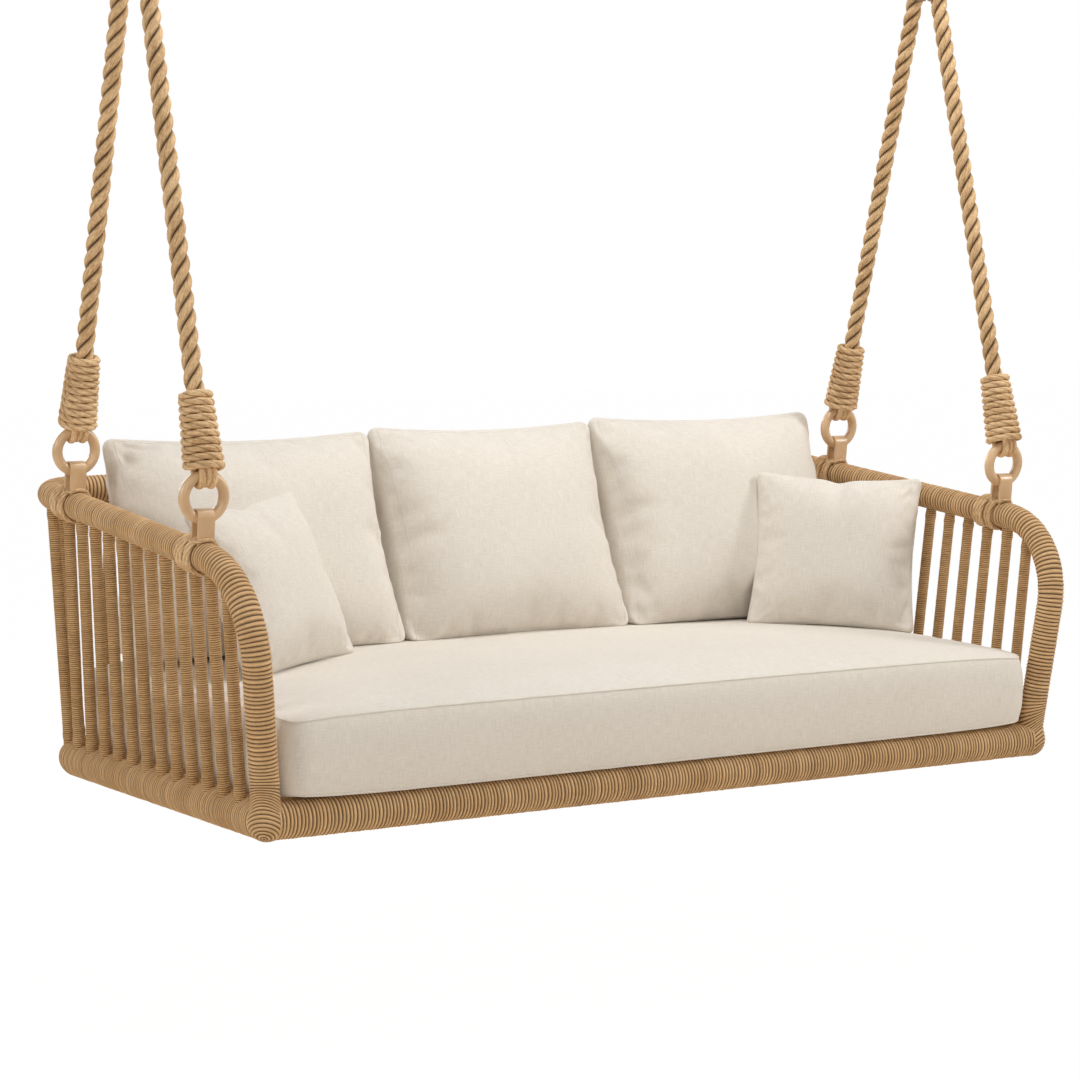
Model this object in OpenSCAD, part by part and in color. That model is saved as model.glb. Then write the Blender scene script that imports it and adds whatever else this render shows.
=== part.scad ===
// A three-seat hanging sofa: a cord-covered tube frame with loose cushions, hung by two pairs of
// ropes from two ceiling brackets. It swings back and forth and sways sideways without tipping.
// Millimetres. +X is the sitter's left to right seen from the front, +Y is backwards, +Z is up.
// The origin is on the ceiling, midway between the two brackets.

/* [Seat frame] */
// Half the distance between the centre lines of the two side rails of the base
half_w = 884; // [780:1:960]
// Distance from the front base rail's centre line to the rear one's
depth = 890; // [840:1:960]
// Diameter of a base rail over its cord covering
base_d = 70; // [60:0.5:76]
// Thickness of the cord covering on a base rail
base_cover = 7; // [3:0.5:10]
// Wall of the metal tubes
tube_wall = 2.5; // [1.5:0.5:4]
// Wall of the front rail's tube, thick so that it balances the back cushions
front_wall = 24; // [2.5:0.5:26]
// Radius of the base frame's rear corners, at the centre line
rear_bend = 80; // [60:1:110]

/* [Arms and back] */
// Diameter of the arm and back rails over their cord covering
arm_d = 54; // [48:0.5:60]
// Thickness of the cord covering on an arm rail
arm_cover = 6; // [3:0.5:8]
// Height of the arm's front corner above the base rail, at the centre lines
arm_front_h = 438; // [380:1:520]
// Height of the back rail above the base rail, at the centre lines
arm_rear_h = 532; // [480:1:620]
// Distance from one arm rail to the middle of the sofa
arm_half_w = 931; // [900:1:980]
// How far the arm's front corner reaches ahead of the base rail
arm_reach = 42; // [0:1:80]
// How far the back rail stands ahead of the rear base rail
back_set = 4; // [0:1:30]
// Radius of the arm's front bend, at the centre line
front_bend = 165; // [120:1:180]

/* [Slats] */
// Diameter of a cord-covered slat
slat_d = 23; // [16:0.5:26]
// Thickness of the cord covering on a slat
slat_cover = 3.5; // [2:0.5:5]
// Distance between side slats along the base rail
slat_base_pitch = 64.5; // [60:0.5:66]
// Distance between side slats along the arm rail
slat_top_pitch = 62; // [58:0.5:66]
// Distance from the front base rail to the first side slat
first_slat = 73; // [60:1:90]
// How far outside the base rail's centre line the slats stand
slat_out = 12; // [0:1:16]
// Number of slats across the back
back_slats = 25; // [15:1:27]

/* [Seat deck] */
// Number of bars from front to back under the seat cushion
bar_count = 11; // [7:1:15]
// Diameter of a deck bar
bar_d = 25; // [18:0.5:30]
// Diameter of the bearer under the bars
bearer_d = 30; // [20:0.5:34]
// Distance from the front base rail back to the bearer, which lies under the sitter
bearer_y = 280; // [120:1:600]

/* [Rings and lugs] */
// Outside diameter of a hanging ring
ring_od = 98; // [90:1:120]
// Thickness of a ring's wire
ring_wire = 20; // [14:0.5:22]
// Distance behind the front base rail at which the front lug meets the arm rail
lug_front = 151; // [140:1:165]
// Number of slat gaps from the front lug to the rear lug
lug_gaps = 9; // [7:1:9]
// Width of a lug's strap
lug_w = 32; // [24:1:40]
// Thickness of a lug's strap
lug_t = 5; // [4:0.5:7]
// Height of the ring's lowest wire above the top of the arm rail, centre to surface
lug_eye_h = 40; // [32:1:60]
// Thickness of the cord lashed round the arm rail at a lug
lash_cord = 9; // [6:0.5:9.5]
// Number of turns of that cord
lash_turns = 2; // [1:1:2]

/* [Ropes] */
// Diameter of a rope
rope_d = 36; // [28:1:38]
// Diameter of a cord in the eye that goes round a ring
eye_cord = 10; // [7:0.5:10.5]
// Number of cords side by side in that eye
eye_cords = 3; // [1:1:3]
// Diameter of the cord whipped round a rope's lower end
whip_cord = 12.8; // [9:0.1:13.5]
// Number of turns in a whipping
whip_turns = 9.5; // [4:0.5:12]
// Outside diameter of a whipping at its wide lower end
whip_low_d = 77.4; // [76:0.1:90]
// Outside diameter of a whipping at its upper end
whip_top_d = 62.4; // [62.4:0.1:76]
// How much of the eye's cords shows between the ring's wire and the whipping
eye_show = 3; // [2:0.5:6]

/* [Ceiling fittings] */
// Distance from the front base rail back to the pin that the sofa swings on
hook_y = 406; // [320:1:460]
// Height of the swing pin above the base rail
swing_h = 1710; // [1600:1:2400]
// Depth of the swing pin below the ceiling
pin_drop = 60; // [45:1:90]
// Distance from the swing pin down to the sway pin
link_drop = 70; // [60:1:110]
// Diameter of the pins
pin_d = 14; // [10:0.5:16]
// Clearance round a pin in its bore
pin_clear = 0.05; // [0.02:0.01:0.08]
// Diameter of a ceiling plate
plate_d = 130; // [125:1:180]
// Thickness of a ceiling plate
plate_t = 8; // [6:0.5:12]
// Diameter of the circle through the screw holes
plate_pcd = 104; // [98:1:110]
// Diameter of a screw hole
plate_hole_d = 9; // [6:0.5:10]
// Number of screw holes in a plate
plate_holes = 4; // [3:1:6]
// Thickness of the bracket's two cheeks
cheek_t = 8; // [6:0.5:10]
// Outside diameter of a rope socket's cup
socket_d = 46; // [45:1:50]
// Depth of the rope in its socket
socket_depth = 30; // [20:1:40]
// Distance along a rope's line from the sway pin down to its socket's cup
cup_top = 40; // [34:1:50]
// Distance along that line from the sway pin down to the end of the rope in the cup
cup_floor = 58; // [52:1:70]

/* [Cushions] */
// Thickness of the seat cushion at its edge
seat_t = 148; // [100:1:180]
// Rise of the seat cushion's crown above its edge
seat_crown = 34; // [8:1:40]
// How far the seat cushion reaches ahead of the front base rail's centre line
seat_over = 28; // [10:1:32]
// How far the seat cushion's sides draw in between their corners
seat_side_pull = 3; // [0:0.5:6]
// Height of the middle back cushion
back_h = 444; // [400:1:470]
// How much lower the left back cushion stands, and how much taller the right one
back_step = 8; // [0:1:12]
// Width of the middle back cushion
back_mid_w = 546; // [480:1:560]
// Width of an outer back cushion
back_side_w = 592; // [500:1:600]
// Swell of a back cushion towards the sitter
back_front_swell = 88; // [60:1:110]
// Swell of a back cushion towards the back rail
back_rear_swell = 120; // [80:1:122]
// Thickness of a back cushion where it stands on the seat
back_foot_t = 110; // [60:1:130]
// Lean of a back cushion from upright
back_lean = 15; // [8:0.5:18]
// Distance from the back rail's front forward to the middle of a back cushion's foot
back_foot_in = 226; // [224:1:240]
// How far the row of back cushions stands off the sofa's middle
back_row_shift = 8; // [0:1:8]
// Thickness of a back cushion or a pillow at its seam
edge_t = 14; // [8:1:18]
// How far a back cushion's sides and top draw in between their corners
back_pull = 14; // [0:1:20]
// Width of a throw pillow
pillow_w = 350; // [300:1:400]
// Height of a throw pillow
pillow_h = 340; // [280:1:380]
// Thickness of a throw pillow at its middle
pillow_t = 120; // [90:1:140]
// How far a pillow's sides draw in between their corners
pillow_pull = 12; // [0:1:20]
// Distance from the seat cushion's left side in to the left pillow's middle
pillow_left_in = 202; // [202:1:215]
// Distance from the seat cushion's front back to the left pillow's middle
pillow_left_deep = 480.5; // [470:0.5:480.5]
// Height of the left pillow's middle above the seat cushion's edge
pillow_left_up = 181.7; // [181.7:0.1:190]
// Distance from the seat cushion's right side in to the right pillow's middle
pillow_right_in = 131; // [131:1:140]
// Distance from the seat cushion's front back to the right pillow's middle
pillow_right_deep = 459; // [450:0.5:459]
// Height of the right pillow's middle above the seat cushion's edge
pillow_right_up = 182.7; // [182.7:0.1:190]

/* [Fits] */
// Clearance between pieces that are seated on each other
seat_gap = 0.3; // [0.2:0.05:0.5]
// Clearance between a ring and what holds it
ring_clear = 0.45; // [0.35:0.05:0.8]

/* [Hidden] */
$fn = 48;

base_r = base_d / 2;
arm_r = arm_d / 2;
base_tube_d = base_d - 2 * base_cover;
arm_tube_d = arm_d - 2 * arm_cover;
ceiling_h = swing_h + pin_drop;
ring_r = (ring_od - ring_wire) / 2;
wire_r = ring_wire / 2;

// The arm's centre line on the right: ball at the base corner, front corner, rear corner, back
arm_foot = [half_w, 0, 0];
arm_corner = [arm_half_w, -arm_reach, arm_front_h];
back_y = depth - back_set;
rear_corner = [arm_half_w, back_y, arm_rear_h];
back_middle = [0, back_y, arm_rear_h];
arm_path = [arm_foot, arm_corner, rear_corner, back_middle];
arm_bends = [0, front_bend, rear_bend, 0];

// The base's centre line on the right
base_rear = [half_w, depth, 0];
base_middle = [0, depth, 0];

// The arm rail rises towards the back by this angle, and the sway axis is square to the rings
rise = atan((arm_rear_h - arm_front_h) / (back_y + arm_reach));
along = [0, cos(rise), sin(rise)];
square = [0, -sin(rise), cos(rise)];
ring_lift = arm_r + lug_eye_h + ring_r;
lug_rear = lug_front + lug_gaps * slat_top_pitch;

function unit(v) = v / norm(v);
function flip(v) = [-v.x, v.y, v.z];
function side_x(v, s) = [s * v.x, v.y, v.z];
// The point of the arm rail's centre line at a distance y behind the front base rail
function rail_at(y) = [arm_half_w, y, arm_front_h + (y + arm_reach) * tan(rise)];
function ring_at(y) = rail_at(y) + ring_lift * square;
// The top of a ring, where a rope's eye goes round the wire
function ring_top(y) = ring_at(y) + ring_r * square;

// Turns +Z to a direction
module aim(v) rotate([0, acos(v.z / norm(v)), atan2(v.y, v.x)]) children();

module rod(p, q, d) translate(p) aim(q - p) cylinder(h = norm(q - p), d = d);

// Length that a bend of radius r takes off each leg of the corner q
function bend_cut(p, q, s, r) = r / tan(acos(unit(p - q) * unit(s - q)) / 2);

// The centre of the bend
function bend_centre(p, q, s, r) = let(
    a = unit(p - q), b = unit(s - q))
    q + unit(a + b) * r / sin(acos(a * b) / 2);

module bend(p, q, s, r, d) {
    a = unit(p - q);
    b = unit(s - q);
    turn = 180 - acos(a * b);
    c = bend_centre(p, q, s, r);
    start = q + a * bend_cut(p, q, s, r);
    finish = q + b * bend_cut(p, q, s, r);
    ex = unit(start - c);
    ez = unit(cross(start - c, finish - c));
    ey = cross(ez, ex);
    multmatrix([
        [ex.x, ey.x, ez.x, c.x],
        [ex.y, ey.y, ez.y, c.y],
        [ex.z, ey.z, ez.z, c.z],
        [0, 0, 0, 1]
    ])
        rotate_extrude(angle = turn) translate([r, 0]) circle(d = d);
}

// A solid bar along a line of corner points, with a bend of its own radius at each inner corner
module bent_bar(path, bends, d) {
    last = len(path) - 1;
    for (i = [0 : last - 1]) {
        p = path[i];
        q = path[i + 1];
        v = unit(q - p);
        p_cut = i == 0 ? 0 : bend_cut(path[i - 1], p, q, bends[i]);
        q_cut = i == last - 1 ? 0 : bend_cut(p, q, path[i + 2], bends[i + 1]);
        rod(p + v * p_cut, q - v * q_cut, d);
    }
    if (last > 1)
        for (i = [1 : last - 1])
            bend(path[i - 1], path[i], path[i + 1], bends[i], d);
}

// A path made longer at both ends, for boring a tube
function stretched(path, extra) = let(n = len(path) - 1) [
    for (i = [0 : n])
        i == 0 ? path[0] - unit(path[1] - path[0]) * extra
        : i == n ? path[n] + unit(path[n] - path[n - 1]) * extra
        : path[i]
];

module bent_tube(path, bends, d, bore) difference() {
    bent_bar(path, bends, d);
    bent_bar(stretched(path, 1), bends, bore);
}

// Puts a piece of the seat frame, drawn from the front base rail, in the hanging place
module at_frame() translate([0, -hook_y, -ceiling_h]) children();

// Draws the right-hand piece, or its mirror image on the left
module on_side(s) mirror([s < 0 ? 1 : 0, 0, 0]) children();

/* The ceiling fittings */

module bracket(s) color("dimgray") on_side(s) translate([arm_half_w, 0, 0]) difference() {
    cheek_x = swing_boss_w / 2 + seat_gap;
    union() {
        translate([0, 0, -plate_t]) cylinder(h = plate_t, d = plate_d);
        for (k = [-1, 1]) translate([k * (cheek_x + cheek_t / 2), 0, -pin_drop]) {
            rotate([0, 90, 0]) cylinder(h = cheek_t, r = cheek_r, center = true);
            translate([-cheek_t / 2, -cheek_r, 0]) cube([cheek_t, 2 * cheek_r, pin_drop - plate_t / 2]);
        }
    }
    for (a = [0 : plate_holes - 1]) rotate([0, 0, (a + 0.5) * 360 / plate_holes])
        translate([plate_pcd / 2, 0, -plate_t - 1]) cylinder(h = plate_t + 2, d = plate_hole_d);
    translate([0, 0, -pin_drop]) rotate([0, 90, 0])
        cylinder(h = plate_d, d = pin_d + 2 * pin_clear, center = true);
}

// A pin along Z through its own middle, with a head at each end
module headed_pin(grip) {
    cylinder(h = grip + 2 * seat_gap, d = pin_d, center = true);
    for (k = [0, 1]) mirror([0, 0, k]) translate([0, 0, grip / 2 + seat_gap])
        cylinder(h = head_t, d = pin_d + 8);
}

module swing_pins() color("silver") for (s = [-1, 1])
    translate([s * arm_half_w, 0, -pin_drop]) rotate([0, 90, 0])
        headed_pin(swing_boss_w + 2 * seat_gap + 2 * cheek_t);

cheek_r = pin_d / 2 + 10;
head_t = 5;
swing_boss_w = 20;
sway_boss_w = 20;
tang_t = 10;
boss_r = pin_d / 2 + 9;
sway_pin_at = [arm_half_w, hook_y, swing_h - link_drop];
// Distance from the middle of the sway pin to the middle of a socket's tang
tang_shift = sway_boss_w / 2 + seat_gap + tang_t / 2;

module swing_link(s) color("dimgray") on_side(s) at_frame() difference() {
    union() {
        translate([arm_half_w, hook_y, swing_h]) rotate([0, 90, 0])
            cylinder(h = swing_boss_w, r = boss_r, center = true);
        translate([arm_half_w - swing_boss_w / 2, hook_y - boss_r / 2, swing_h - link_drop])
            cube([swing_boss_w, boss_r, link_drop]);
        translate(sway_pin_at) rotate([rise, 0, 0]) rotate([90, 0, 0])
            cylinder(h = sway_boss_w, r = boss_r, center = true);
    }
    translate([arm_half_w, hook_y, swing_h]) rotate([0, 90, 0])
        cylinder(h = 2 * boss_r, d = pin_d + 2 * pin_clear, center = true);
    translate(sway_pin_at) rotate([rise, 0, 0]) rotate([90, 0, 0])
        cylinder(h = 2 * boss_r, d = pin_d + 2 * pin_clear, center = true);
}

module sway_pin(s) color("silver") on_side(s) at_frame()
    translate(sway_pin_at) rotate([rise, 0, 0]) rotate([90, 0, 0])
        headed_pin(sway_boss_w + 2 * tang_t + 2 * seat_gap);

/* The ropes */

// Each rope runs straight from the top of its ring to its tang on the sway pin
function lug_y(front) = front ? lug_front : lug_rear;
function rope_foot(front) = ring_top(lug_y(front));
function rope_head(front) = sway_pin_at + (front ? -tang_shift : tang_shift) * along;
function rope_way(front) = unit(rope_head(front) - rope_foot(front));

// Distance along the rope's line from the ring's wire to the rope's lower end
rope_start = wire_r + ring_clear + eye_cord + eye_show;
cup_mouth = cup_floor + socket_depth;
eye_r = wire_r + ring_clear + eye_cord / 2;
eye_pitch = eye_cord + 1;
eye_in = ring_r - wire_r;

module rope_socket(s, front) color("dimgray") on_side(s) at_frame() {
    head = rope_head(front);
    way = rope_way(front);
    difference() {
        union() {
            translate(head) rotate([rise, 0, 0]) {
                rotate([90, 0, 0]) cylinder(h = tang_t, r = boss_r, center = true);
                translate([-boss_r * 0.75, -tang_t / 2, -cup_floor + 6])
                    cube([boss_r * 1.5, tang_t, cup_floor - 6]);
            }
            rod(head - way * cup_top, head - way * cup_mouth, socket_d);
        }
        rod(head - way * cup_floor, head - way * (cup_mouth + 1), rope_d + 4 * seat_gap);
        translate(head) rotate([rise, 0, 0]) rotate([90, 0, 0])
            cylinder(h = 2 * tang_t, d = pin_d + 2 * pin_clear, center = true);
    }
}

// A ring of points round a line, square to the direction w, with sides corners
function ring_points(c, w, r, sides, start = 0) = let(
    e1 = unit(cross(abs(w.x) < 0.9 ? [1, 0, 0] : [0, 1, 0], w)), e2 = cross(unit(w), e1))
    [for (k = [0 : sides - 1]) c + r * (cos(start + k * 360 / sides) * e1 + sin(start + k * 360 / sides) * e2)];

// Joins rings of points into a closed tube
module skin(rings) {
    n = len(rings[0]);
    m = len(rings);
    points = [for (ring = rings) each ring];
    side_faces = [for (i = [0 : m - 2], k = [0 : n - 1]) let(
        a = i * n + k, b = i * n + (k + 1) % n, c = a + n, d = b + n)
        each [[a, c, b], [b, c, d]]];
    caps = [for (k = [1 : n - 2]) each [[0, k, k + 1], [(m - 1) * n, (m - 1) * n + k + 1, (m - 1) * n + k]]];
    polyhedron(points = points, faces = concat(side_faces, caps));
}

// A tube along a list of points
function point_way(p, i) = unit(p[min(i + 1, len(p) - 1)] - p[max(i - 1, 0)]);
module tube_along(p, d, sides)
    skin([for (i = [0 : len(p) - 1]) ring_points(p[i], point_way(p, i), d / 2, sides)]);

rope_sides = 12;
rope_step = 2.5 * rope_d;
module rope(s, front) color("peru") on_side(s) at_frame() {
    way = rope_way(front);
    low = rope_foot(front) + way * rope_start;
    high = rope_head(front) - way * cup_floor;
    steps = ceil(norm(high - low) / rope_step);
    tube_along([for (i = [0 : steps]) low + (high - low) * i / steps], rope_d, rope_sides);
}

// The eye's cords, side by side: each goes down one side, under the wire and up the other side
module rope_eye(s, front) color("peru") on_side(s) at_frame() {
    foot = rope_foot(front);
    way = rope_way(front);
    tilt = atan2(-way.y, way.z);
    for (k = [0 : eye_cords - 1]) {
        x = (k - (eye_cords - 1) / 2) * eye_pitch;
        // The outer cords sit lower, where the inside of the ring's wire curves down through them
        sink = 1.15 * (eye_in - sqrt(eye_in * eye_in - x * x));
        translate(foot + [x, 0, 0] - sink * square) rotate([tilt, 0, 0]) {
            rotate([90, 0, 90]) rotate([0, 0, 180]) rotate_extrude(angle = 180)
                translate([eye_r, 0]) circle(d = eye_cord);
            for (y = [-eye_r, eye_r]) translate([0, y, 0])
                cylinder(h = rope_start - seat_gap + sink * cos(tilt + rise), d = eye_cord);
        }
    }
}

whip_rings = 10;
whip_sides = 6;
whip_gap = 2 * seat_gap;
whip_pitch = whip_cord + whip_gap;
whip_start = wire_r + eye_show + whip_cord / 2;
function whip_point(t) = let(
    f = t / whip_turns,
    r = (whip_low_d + f * (whip_top_d - whip_low_d) - whip_cord) / 2)
    [r * cos(360 * t), r * sin(360 * t), whip_start + whip_pitch * t];
whip_path = [for (i = [0 : whip_rings * whip_turns]) whip_point(i / whip_rings)];
module whipping(s, front) color("tan") on_side(s) at_frame() {
    way = rope_way(front);
    translate(rope_foot(front)) rotate([atan2(-way.y, way.z), 0, 0])
        tube_along(whip_path, whip_cord, whip_sides);
}

/* The rings, the lugs and their lashings */

module on_rail(y) translate(rail_at(y)) rotate([rise, 0, 0]) children();

// A ring's shape in the frame of the rail under it
module ring_shape(wire) translate([0, 0, ring_lift]) rotate([90, 0, 0])
    rotate_extrude() translate([ring_r, 0]) circle(d = wire);

module ring(s, front) color("burlywood") on_side(s) at_frame() on_rail(lug_y(front))
    ring_shape(ring_wire);

lug_in = wire_r + ring_clear;
lug_out = lug_in + lug_t;
// The strap's top clears the ring's wire where it curves up at the strap's edges
lug_rise = ring_r - sqrt(ring_r * ring_r - lug_w * lug_w / 4);
lug_eye = arm_r + lug_eye_h;

module lug_leg_slots(extra) for (k = [-1, 1])
    translate([-lug_w / 2 - extra, k * (lug_in + lug_t / 2) - lug_t / 2 - extra, 0])
        cube([lug_w + 2 * extra, lug_t + 2 * extra, lug_eye]);

module lug(s, front) color("burlywood") on_side(s) at_frame() on_rail(lug_y(front)) difference() {
    union() {
        translate([-lug_w / 2, 0, lug_eye]) rotate([90, 0, 90]) linear_extrude(lug_w)
            difference() {
                union() {
                    circle(r = lug_out);
                    translate([-lug_out, 0]) square([2 * lug_out, lug_rise]);
                    translate([0, lug_rise]) circle(r = lug_out);
                }
                circle(r = lug_in);
                translate([-lug_in, -lug_out]) square([2 * lug_in, lug_out]);
            }
        lug_leg_slots(0);
    }
    ring_shape(ring_wire + 2 * ring_clear);
    rotate([90, 0, 0]) cylinder(h = 3 * lug_out, d = arm_tube_d + 2 * seat_gap, center = true);
}

lash_rings = 12;
lash_gap = 2 * seat_gap;
lash_pitch = lash_cord + lash_gap;
// The cord's sides cut inside its own circle between rings, so the turns lie a little further out
lash_r = (arm_r + seat_gap + lash_cord / 2) / cos(180 / lash_rings);
lash_path = [for (i = [0 : lash_rings * lash_turns]) let(t = i / lash_rings)
    [lash_r * sin(360 * t), lash_pitch * (t - lash_turns / 2), -lash_r * cos(360 * t)]];
module lug_lashings() color("tan") for (s = [-1, 1], front = [true, false])
    on_side(s) at_frame() on_rail(lug_y(front)) tube_along(lash_path, lash_cord, whip_sides);

/* The metal tubes and their cord coverings */

ball_d = base_d + 2;
corner_gap = ball_d + 2 * seat_gap;
base_path = [arm_foot, base_rear, base_middle];
base_bends = [0, rear_bend, 0];
base_corner_end = half_w - rear_bend;
arm_corner_end = arm_half_w - bend_cut(arm_corner, rear_corner, back_middle, rear_bend);
base_side_path = [arm_foot, base_rear, [base_corner_end, depth, 0]];
arm_side_path = [arm_foot, arm_corner, rear_corner, [arm_corner_end, back_y, arm_rear_h]];

// A short band round a joint of two lengths, which makes them one piece
module joint_band(at, way, d) translate(at) aim(way) cylinder(h = 4, d = d + 0.3, center = true);

// A path like bent_bar's whose last leg is the bend itself
module side_bar(path, bends, d) {
    n = len(path) - 1;
    for (i = [0 : n - 2]) {
        p = path[i];
        q = path[i + 1];
        v = unit(q - p);
        p_cut = i == 0 ? 0 : bend_cut(path[i - 1], p, q, bends[i]);
        q_cut = bend_cut(p, q, path[i + 2], bends[i + 1]);
        rod(p + v * p_cut, q - v * q_cut, d);
    }
    for (i = [1 : n - 1]) {
        p = path[i - 1];
        q = path[i];
        s = path[i + 1];
        cut = bend_cut(p, q, s, bends[i]);
        bend(p, q, s, bends[i], d);
        joint_band(q - unit(q - p) * cut, q - p, d);
        if (i < n - 1) joint_band(q + unit(s - q) * cut, s - q, d);
    }
}

module foot_ball(d) translate(arm_foot) sphere(d = d, $fn = 120);

module base_cover_side(s) color("tan") on_side(s) at_frame() difference() {
    side_bar(base_side_path, base_bends, base_d);
    side_bar(base_side_path, base_bends, base_tube_d + 2 * seat_gap);
    foot_ball(corner_gap);
    rod(arm_foot, arm_corner, arm_d + 2 * seat_gap);
}

module base_tube_side(s) color("gray") on_side(s) at_frame() difference() {
    side_bar(base_side_path, base_bends, base_tube_d);
    side_bar(base_side_path, base_bends, base_tube_d - 2 * tube_wall);
    foot_ball(corner_gap);
    rod(arm_foot, arm_corner, arm_d + 2 * seat_gap);
}

module base_straight(y, reach, d, bore) at_frame() difference() {
    rod([-reach, y, 0], [reach, y, 0], d);
    rod([-reach - 1, y, 0], [reach + 1, y, 0], bore);
    // At its front corners the rail makes room for the foot ball, the side rail and the arm's post
    if (y == 0) for (s = [-1, 1]) {
        translate(side_x(arm_foot, s)) sphere(d = corner_gap);
        rod(side_x(arm_foot, s), side_x(base_rear, s), base_d + 2 * seat_gap);
        rod(side_x(arm_foot, s), side_x(arm_corner, s), arm_d + 2 * seat_gap);
    }
}

module arm_cover_side(s) color("tan") on_side(s) at_frame() difference() {
    union() {
        side_bar(arm_side_path, arm_bends, arm_d);
        foot_ball(ball_d);
    }
    side_bar(arm_side_path, arm_bends, arm_tube_d + 2 * seat_gap);
    foot_ball(base_tube_d + 2 * seat_gap);
    for (front = [true, false]) on_rail(lug_y(front)) lug_leg_slots(seat_gap);
}

module arm_tube_side(s) color("gray") on_side(s) at_frame() difference() {
    union() {
        side_bar(arm_side_path, arm_bends, arm_tube_d);
        foot_ball(base_tube_d);
    }
    side_bar(arm_side_path, arm_bends, arm_tube_d - 2 * tube_wall);
    foot_ball(base_tube_d - 2 * tube_wall);
}

module back_straight(d, bore) at_frame() difference() {
    rod([-arm_corner_end + seat_gap, back_y, arm_rear_h], [arm_corner_end - seat_gap, back_y, arm_rear_h], d);
    rod([-arm_half_w, back_y, arm_rear_h], [arm_half_w, back_y, arm_rear_h], bore);
}

/* The slats */

straight_slats = floor((depth - rear_bend - first_slat) / slat_base_pitch) + 1;
first_top = lug_front - 1.5 * slat_top_pitch;
front_bend_centre = bend_centre(arm_foot, arm_corner, rear_corner, front_bend);
front_bend_end = arm_corner.y + bend_cut(arm_foot, arm_corner, rear_corner, front_bend) * cos(rise);
// The arm's centre line at y, on the rail or round the front bend
function arm_line(y) = y >= front_bend_end ? rail_at(y) : let(
    turn = asin(min(1, (front_bend_end - y) / front_bend)),
    drop = front_bend * (1 - cos(turn)))
    [arm_half_w - drop * (arm_half_w - half_w) / arm_front_h, y, rail_at(y).z - drop];
base_turn_r = rear_bend + slat_out;
base_turn_at = [half_w - rear_bend, depth - rear_bend];
top_turn_at = [arm_half_w - rear_bend, back_y - rear_bend];
// Angle between slats round the rear corner, and that of the first one past the straight
corner_step = slat_base_pitch / base_turn_r * 180 / PI;
corner_first = (first_slat + straight_slats * slat_base_pitch - base_turn_at.y) / base_turn_r * 180 / PI;
function corner_foot(a) = [base_turn_at.x + base_turn_r * cos(a), base_turn_at.y + base_turn_r * sin(a), 0];
function corner_top(a) = [top_turn_at.x + rear_bend * cos(a), top_turn_at.y + rear_bend * sin(a), arm_rear_h - 4];
side_slat_ends = concat(
    [for (i = [0 : straight_slats - 1])
        [[half_w + slat_out, first_slat + i * slat_base_pitch, 0], arm_line(first_top + i * slat_top_pitch)]],
    [for (a = [corner_first : corner_step : 80]) [corner_foot(a), corner_top(a)]]);
back_slat_reach = base_corner_end - slat_d;
back_slat_ends = [for (i = [0 : back_slats - 1]) let(x = -back_slat_reach + i * 2 * back_slat_reach / (back_slats - 1))
    [[x, depth + slat_out, 0], [x, back_y, arm_rear_h]]];

// The space that the rails take, which the slats end against
module rails_space() {
    side_bar(base_side_path, base_bends, base_d + 2 * seat_gap);
    side_bar(arm_side_path, arm_bends, arm_d + 2 * seat_gap);
}
module back_rails_space() {
    rod([-half_w, depth, 0], [half_w, depth, 0], base_d + 2 * seat_gap);
    rod([-arm_half_w, back_y, arm_rear_h], [arm_half_w, back_y, arm_rear_h], arm_d + 2 * seat_gap);
}

slat_rod_d = slat_d - 2 * slat_cover;
module side_slats(s) color("tan") on_side(s) at_frame() difference() {
    for (e = side_slat_ends) rod(e[0], e[1], slat_d);
    for (e = side_slat_ends) rod(e[0], e[1], slat_rod_d + 2 * seat_gap);
    rails_space();
}
module back_slats_row() color("tan") at_frame() difference() {
    for (e = back_slat_ends) rod(e[0], e[1], slat_d);
    for (e = back_slat_ends) rod(e[0], e[1], slat_rod_d + 2 * seat_gap);
    back_rails_space();
}
module slat_rods() color("gray") at_frame() {
    for (s = [-1, 1]) on_side(s) difference() {
        for (e = side_slat_ends) rod(e[0], e[1], slat_rod_d);
        rails_space();
    }
    difference() {
        for (e = back_slat_ends) rod(e[0], e[1], slat_rod_d);
        back_rails_space();
    }
}

/* The seat deck */

bar_z = base_r - bar_d / 2;
bar_reach = half_w - base_r - 2 * bar_d;
module deck_bars() color("tan") at_frame() difference() {
    for (i = [0 : bar_count - 1]) let(x = -bar_reach + i * 2 * bar_reach / (bar_count - 1))
        rod([x, 0, bar_z], [x, depth, bar_z], bar_d);
    for (y = [0, depth]) rod([-half_w, y, 0], [half_w, y, 0], base_d + 2 * seat_gap);
}
module deck_bearer() color("tan") at_frame() difference() {
    z = bar_z - bar_d / 2 - bearer_d / 2 - seat_gap;
    rod([-half_w, bearer_y, z], [half_w, bearer_y, z], bearer_d);
    for (s = [-1, 1]) rod([s * half_w, 0, 0], [s * half_w, depth, 0], base_d + 2 * seat_gap);
}

/* The cushions */

// How far a point at u, from -1 to 1, keeps of the full swell
function crown(u) = pow(max(0, 1 - pow(abs(u), 3)), 0.7);
function spread(i, n) = let(u = 2 * i / n - 1) sin(90 * u) * 0.6 + u * 0.4;

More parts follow.
